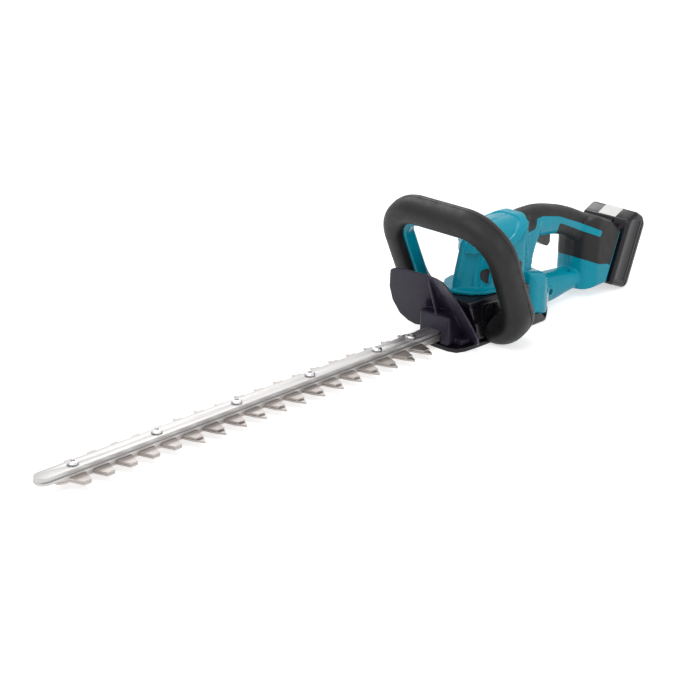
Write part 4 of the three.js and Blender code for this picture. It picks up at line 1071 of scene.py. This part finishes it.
sunk = [[*along_mount(mount_face + s, t), radius] for s, t, radius in oblong(8, 27, 106, 188, 3)]
details = []
for side in (-1, 1):
    across = side * (pack_half + 2)
    details.append(moved(pack_block(31.5, 33, 90, 210, 3), 0, across))
    details.append(moved(slab(sunk, 2.4), 0, across))
for t in (112, 118, 124):
    details.append(pack_block(pack_depth - 1.1, pack_depth + 5, t, t + 2.2, 24))
pack = cut(pack, *details)
print("pack", round(pack_depth, 1), "mm deep,", len(pack.polygons), "faces")

# %% [markdown]
# The shell is parted just behind the mount's face. The front piece carries the rails and
# the room of the latch button, and the rear one is the cup that holds the cells. The
# button is a ribbed pad that stands out of the front by more than it can be pressed. A
# plain pale label lies over the top, with nothing printed on it.

# %% The battery's two pieces, its label and its button
latch_low, latch_high, latch_half, latch_wall = 173, 181, 13, 1.6
button_out, button_deep, button_press, pack_seam = 3.5, 6, 3, 3

def latch_block(s0, s1, grow):
    """The button's own block, higher and wider all round by grow."""
    return pack_block(s0, s1, latch_low - grow, latch_high + grow, latch_half + grow)

latch_room = latch_block(-5, button_deep - button_out + button_press + seat_gap, seat_gap)
latch_walls = latch_block(0, 7.1, latch_wall)
rail = joined(pack_block(-9, -5.7, 106, 168, 28), pack_block(-6.2, 1, 106, 168, 24))
blade_slots = [moved(pack_block(-10, -5.7, 105, 133, 1.1), 0, y) for y in (-8, 8)]
pack_shell = cut(pack, pack_room)
cover = crossed(pack_shell, pack_block(-20, pack_seam - half_seam, 60, 240, 60))
cover = cut(joined(cover, latch_walls, rail), latch_room, *blade_slots)
case = cut(crossed(pack_shell, pack_block(pack_seam + half_seam, 60, 60, 240, 60)),
           latch_block(0, 7.4, latch_wall + seat_gap))
finished(edged(cover, 0.35, 2), "battery_cover")
finished(edged(case, 0.35, 2), "battery_case")

top_label = crossed(
    cut(slab(pack_outline(0.3), pack_half, 4.5, 6), slab(pack_outline(label_under), pack_half + 1)),
    pack_block(2, 20, pack_high - 14, pack_high + 4, 14))
label(top_label, "battery_label", "battery")

grooves = [pack_block(-6, -2.9, t, t + 1, 11) for t in (175, 177, 179)]
button = cut(latch_block(-button_out, button_deep - button_out, 0), *grooves)
finished(edged(button, 0.6, 3), "battery_button")

# %% [markdown]
# The trigger is a hooked finger with a round hub. Its outline has a hollow front for the
# fingertip. On such tools the hub turns on a pin moulded in the housing. That pin can't
# be seen, and the finished housing has none.

# %% The trigger
pivot_x, pivot_z, hub, trigger_half = 110, 111, 3.8, 8
finger = slab([
    [pivot_x - 3, pivot_z - 1], [pivot_x + 1, 94, 6], [pivot_x + 14, 87, 5], [133, 82, 3],
    [138, 86.5, 4], [138, pivot_z - 3.5], [pivot_x + 3, pivot_z - 3.5],
], trigger_half, 2.2)
trigger = cut(joined(finger, pin(pivot_x, pivot_z, hub, -trigger_half, trigger_half)),
              pin(pivot_x, pivot_z, 2.1, -trigger_half - 1, trigger_half + 1))
finished(trigger, "trigger")

# %% [markdown]
# Each flank has a D-ended plate of black film with a fine raised rim. It is left bare.
# It is the space between two copies of the barrel, one a little smaller than the other,
# so that it follows the flank's curve.

# %% The label plates
panel_area = [[-14, 71, 8], [48, 71, 2], [48, 89, 2], [-14, 89, 8]]
inner_area = [[-12.5, 72.5, 6.5], [46.5, 72.5, 1.5], [46.5, 87.5, 1.5], [-12.5, 87.5, 6.5]]
film = crossed(cut(pod(-1.85), pod(-2.7)), slab(panel_area, far))
film = cut(film, cut(slab(inner_area, far), pod(-2.25)))
finished_sides(film, "label_panel")

# %% [markdown]
# The blades are stamped from sheet. The frame's blades have their outline, so copies of
# them get the fine rounding of stamped edges. Teeth ground on a slant would need a face
# of their own on each tooth; these stay flat. The guide bar is drawn in aluminium, with
# softer edges.

# %% Blades, guide bar and nuts
finished(softened("lower_blade", 0.2), "lower_blade", sharp=25)
finished(softened("upper_blade", 0.2), "upper_blade", sharp=25)
finished(softened("guide_bar", 0.6, steps=3), "guide_bar")
for k in range(1, 7):
    finished(softened(f"guide_nut_{k}", 0.3), f"guide_nut_{k}")

# %% [markdown]
# A screw is a turned part, so its profile is spun about its axis: a domed head, a short
# neck and a round shank. The drive recess is cut in afterwards. One function makes every
# screw of the tool at the place and length of the frame's screw.

# %% Screws
def turned_screw(head, head_height, shank, length, recess):
    """A screw on +Z whose seat is at Z = 0, its head above and its shank below."""
    dome = head_height * 0.35
    profile = [(0, head_height), (head * 0.55, head_height - dome * 0.15),
               (head * 0.85, head_height - dome * 0.6), (head, head_height - dome * 1.5),
               (head, 0.3), (head - 0.3, 0), (shank, 0), (shank, -length + 0.6), (shank - 0.6, -length),
               (0, -length)]
    form = bmesh.new()
    marks = [form.verts.new((x, 0, z)) for x, z in profile]
    edges = [form.edges.new(pair) for pair in zip(marks, marks[1:])]
    bmesh.ops.spin(form, geom=marks + edges, cent=(0, 0, 0), axis=(0, 0, 1), dvec=(0, 0, 0),
                   angle=2 * math.pi, steps=40, use_merge=True, use_duplicate=False)
    screw = closed(form)
    if recess == "hex":
        key = bmesh.new()
        bmesh.ops.create_cone(key, cap_ends=True, segments=6, radius1=head * 0.5,
                              radius2=head * 0.5, depth=head_height * 1.2)
        bmesh.ops.translate(key, verts=key.verts[:], vec=(0, 0, head_height))
        return cut(screw, closed(key))
    wing, arm = head * 0.62, head * 0.16
    low, high = head_height * 0.35, head_height + 1
    return cut(screw, box(-wing, wing, -arm, arm, low, high), box(-arm, arm, -wing, wing, low, high))

def fitted_screw(node, axis, head_at_top, head_height, recess):
    """Replaces a screw node that lies along the given axis."""
    low, high = (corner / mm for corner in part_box(node))
    middle = (low + high) / 2
    across = 'xyz'.replace(axis, '')[0]
    head = (getattr(high, across) - getattr(low, across)) / 2
    length = getattr(high, axis) - getattr(low, axis) - head_height
    screw = turned_screw(head, head_height, 2.6 if recess == "hex" else 2.0, length, recess)
    turn = {"z": Matrix.Identity(4), "y": Matrix.Rotation(-math.pi / 2, 4, 'X')}[axis]
    if not head_at_top:
        turn = turn @ Matrix.Rotation(math.pi, 4, 'X')
    seat = Vector(middle)
    reach = getattr(high, axis) - head_height if head_at_top else getattr(low, axis) + head_height
    setattr(seat, axis, reach)
    screw.transform(Matrix.Translation(seat) @ turn)
    finished(screw, node)

for k in range(1, 7):
    fitted_screw(f"guide_screw_{k}", 'z', True, 3.4, "hex")
for node in [f"case_screw_{k}" for k in range(1, 5)] + ["guard_screw_1", "guard_screw_2"]:
    fitted_screw(node, 'z', False, 2.2, "cross")
for k, (x, z, side) in enumerate(screws, 1):
    fitted_screw(f"housing_screw_{k}", 'y', side > 0, 2.2, "cross")

# %% [markdown]
# The trigger's and the lever's return springs shorten as those are pulled. Each is a
# merged copy of the frame's coil, with a mesh of its own.

# %% The return springs
trigger_spring = finished(merged("trigger_spring"), "trigger_spring")
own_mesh(trigger_spring)
lever_spring = finished(merged("lever_spring"), "lever_spring")
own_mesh(lever_spring)
print("springs", len(trigger_spring.data.polygons), "and", len(lever_spring.data.polygons), "faces")
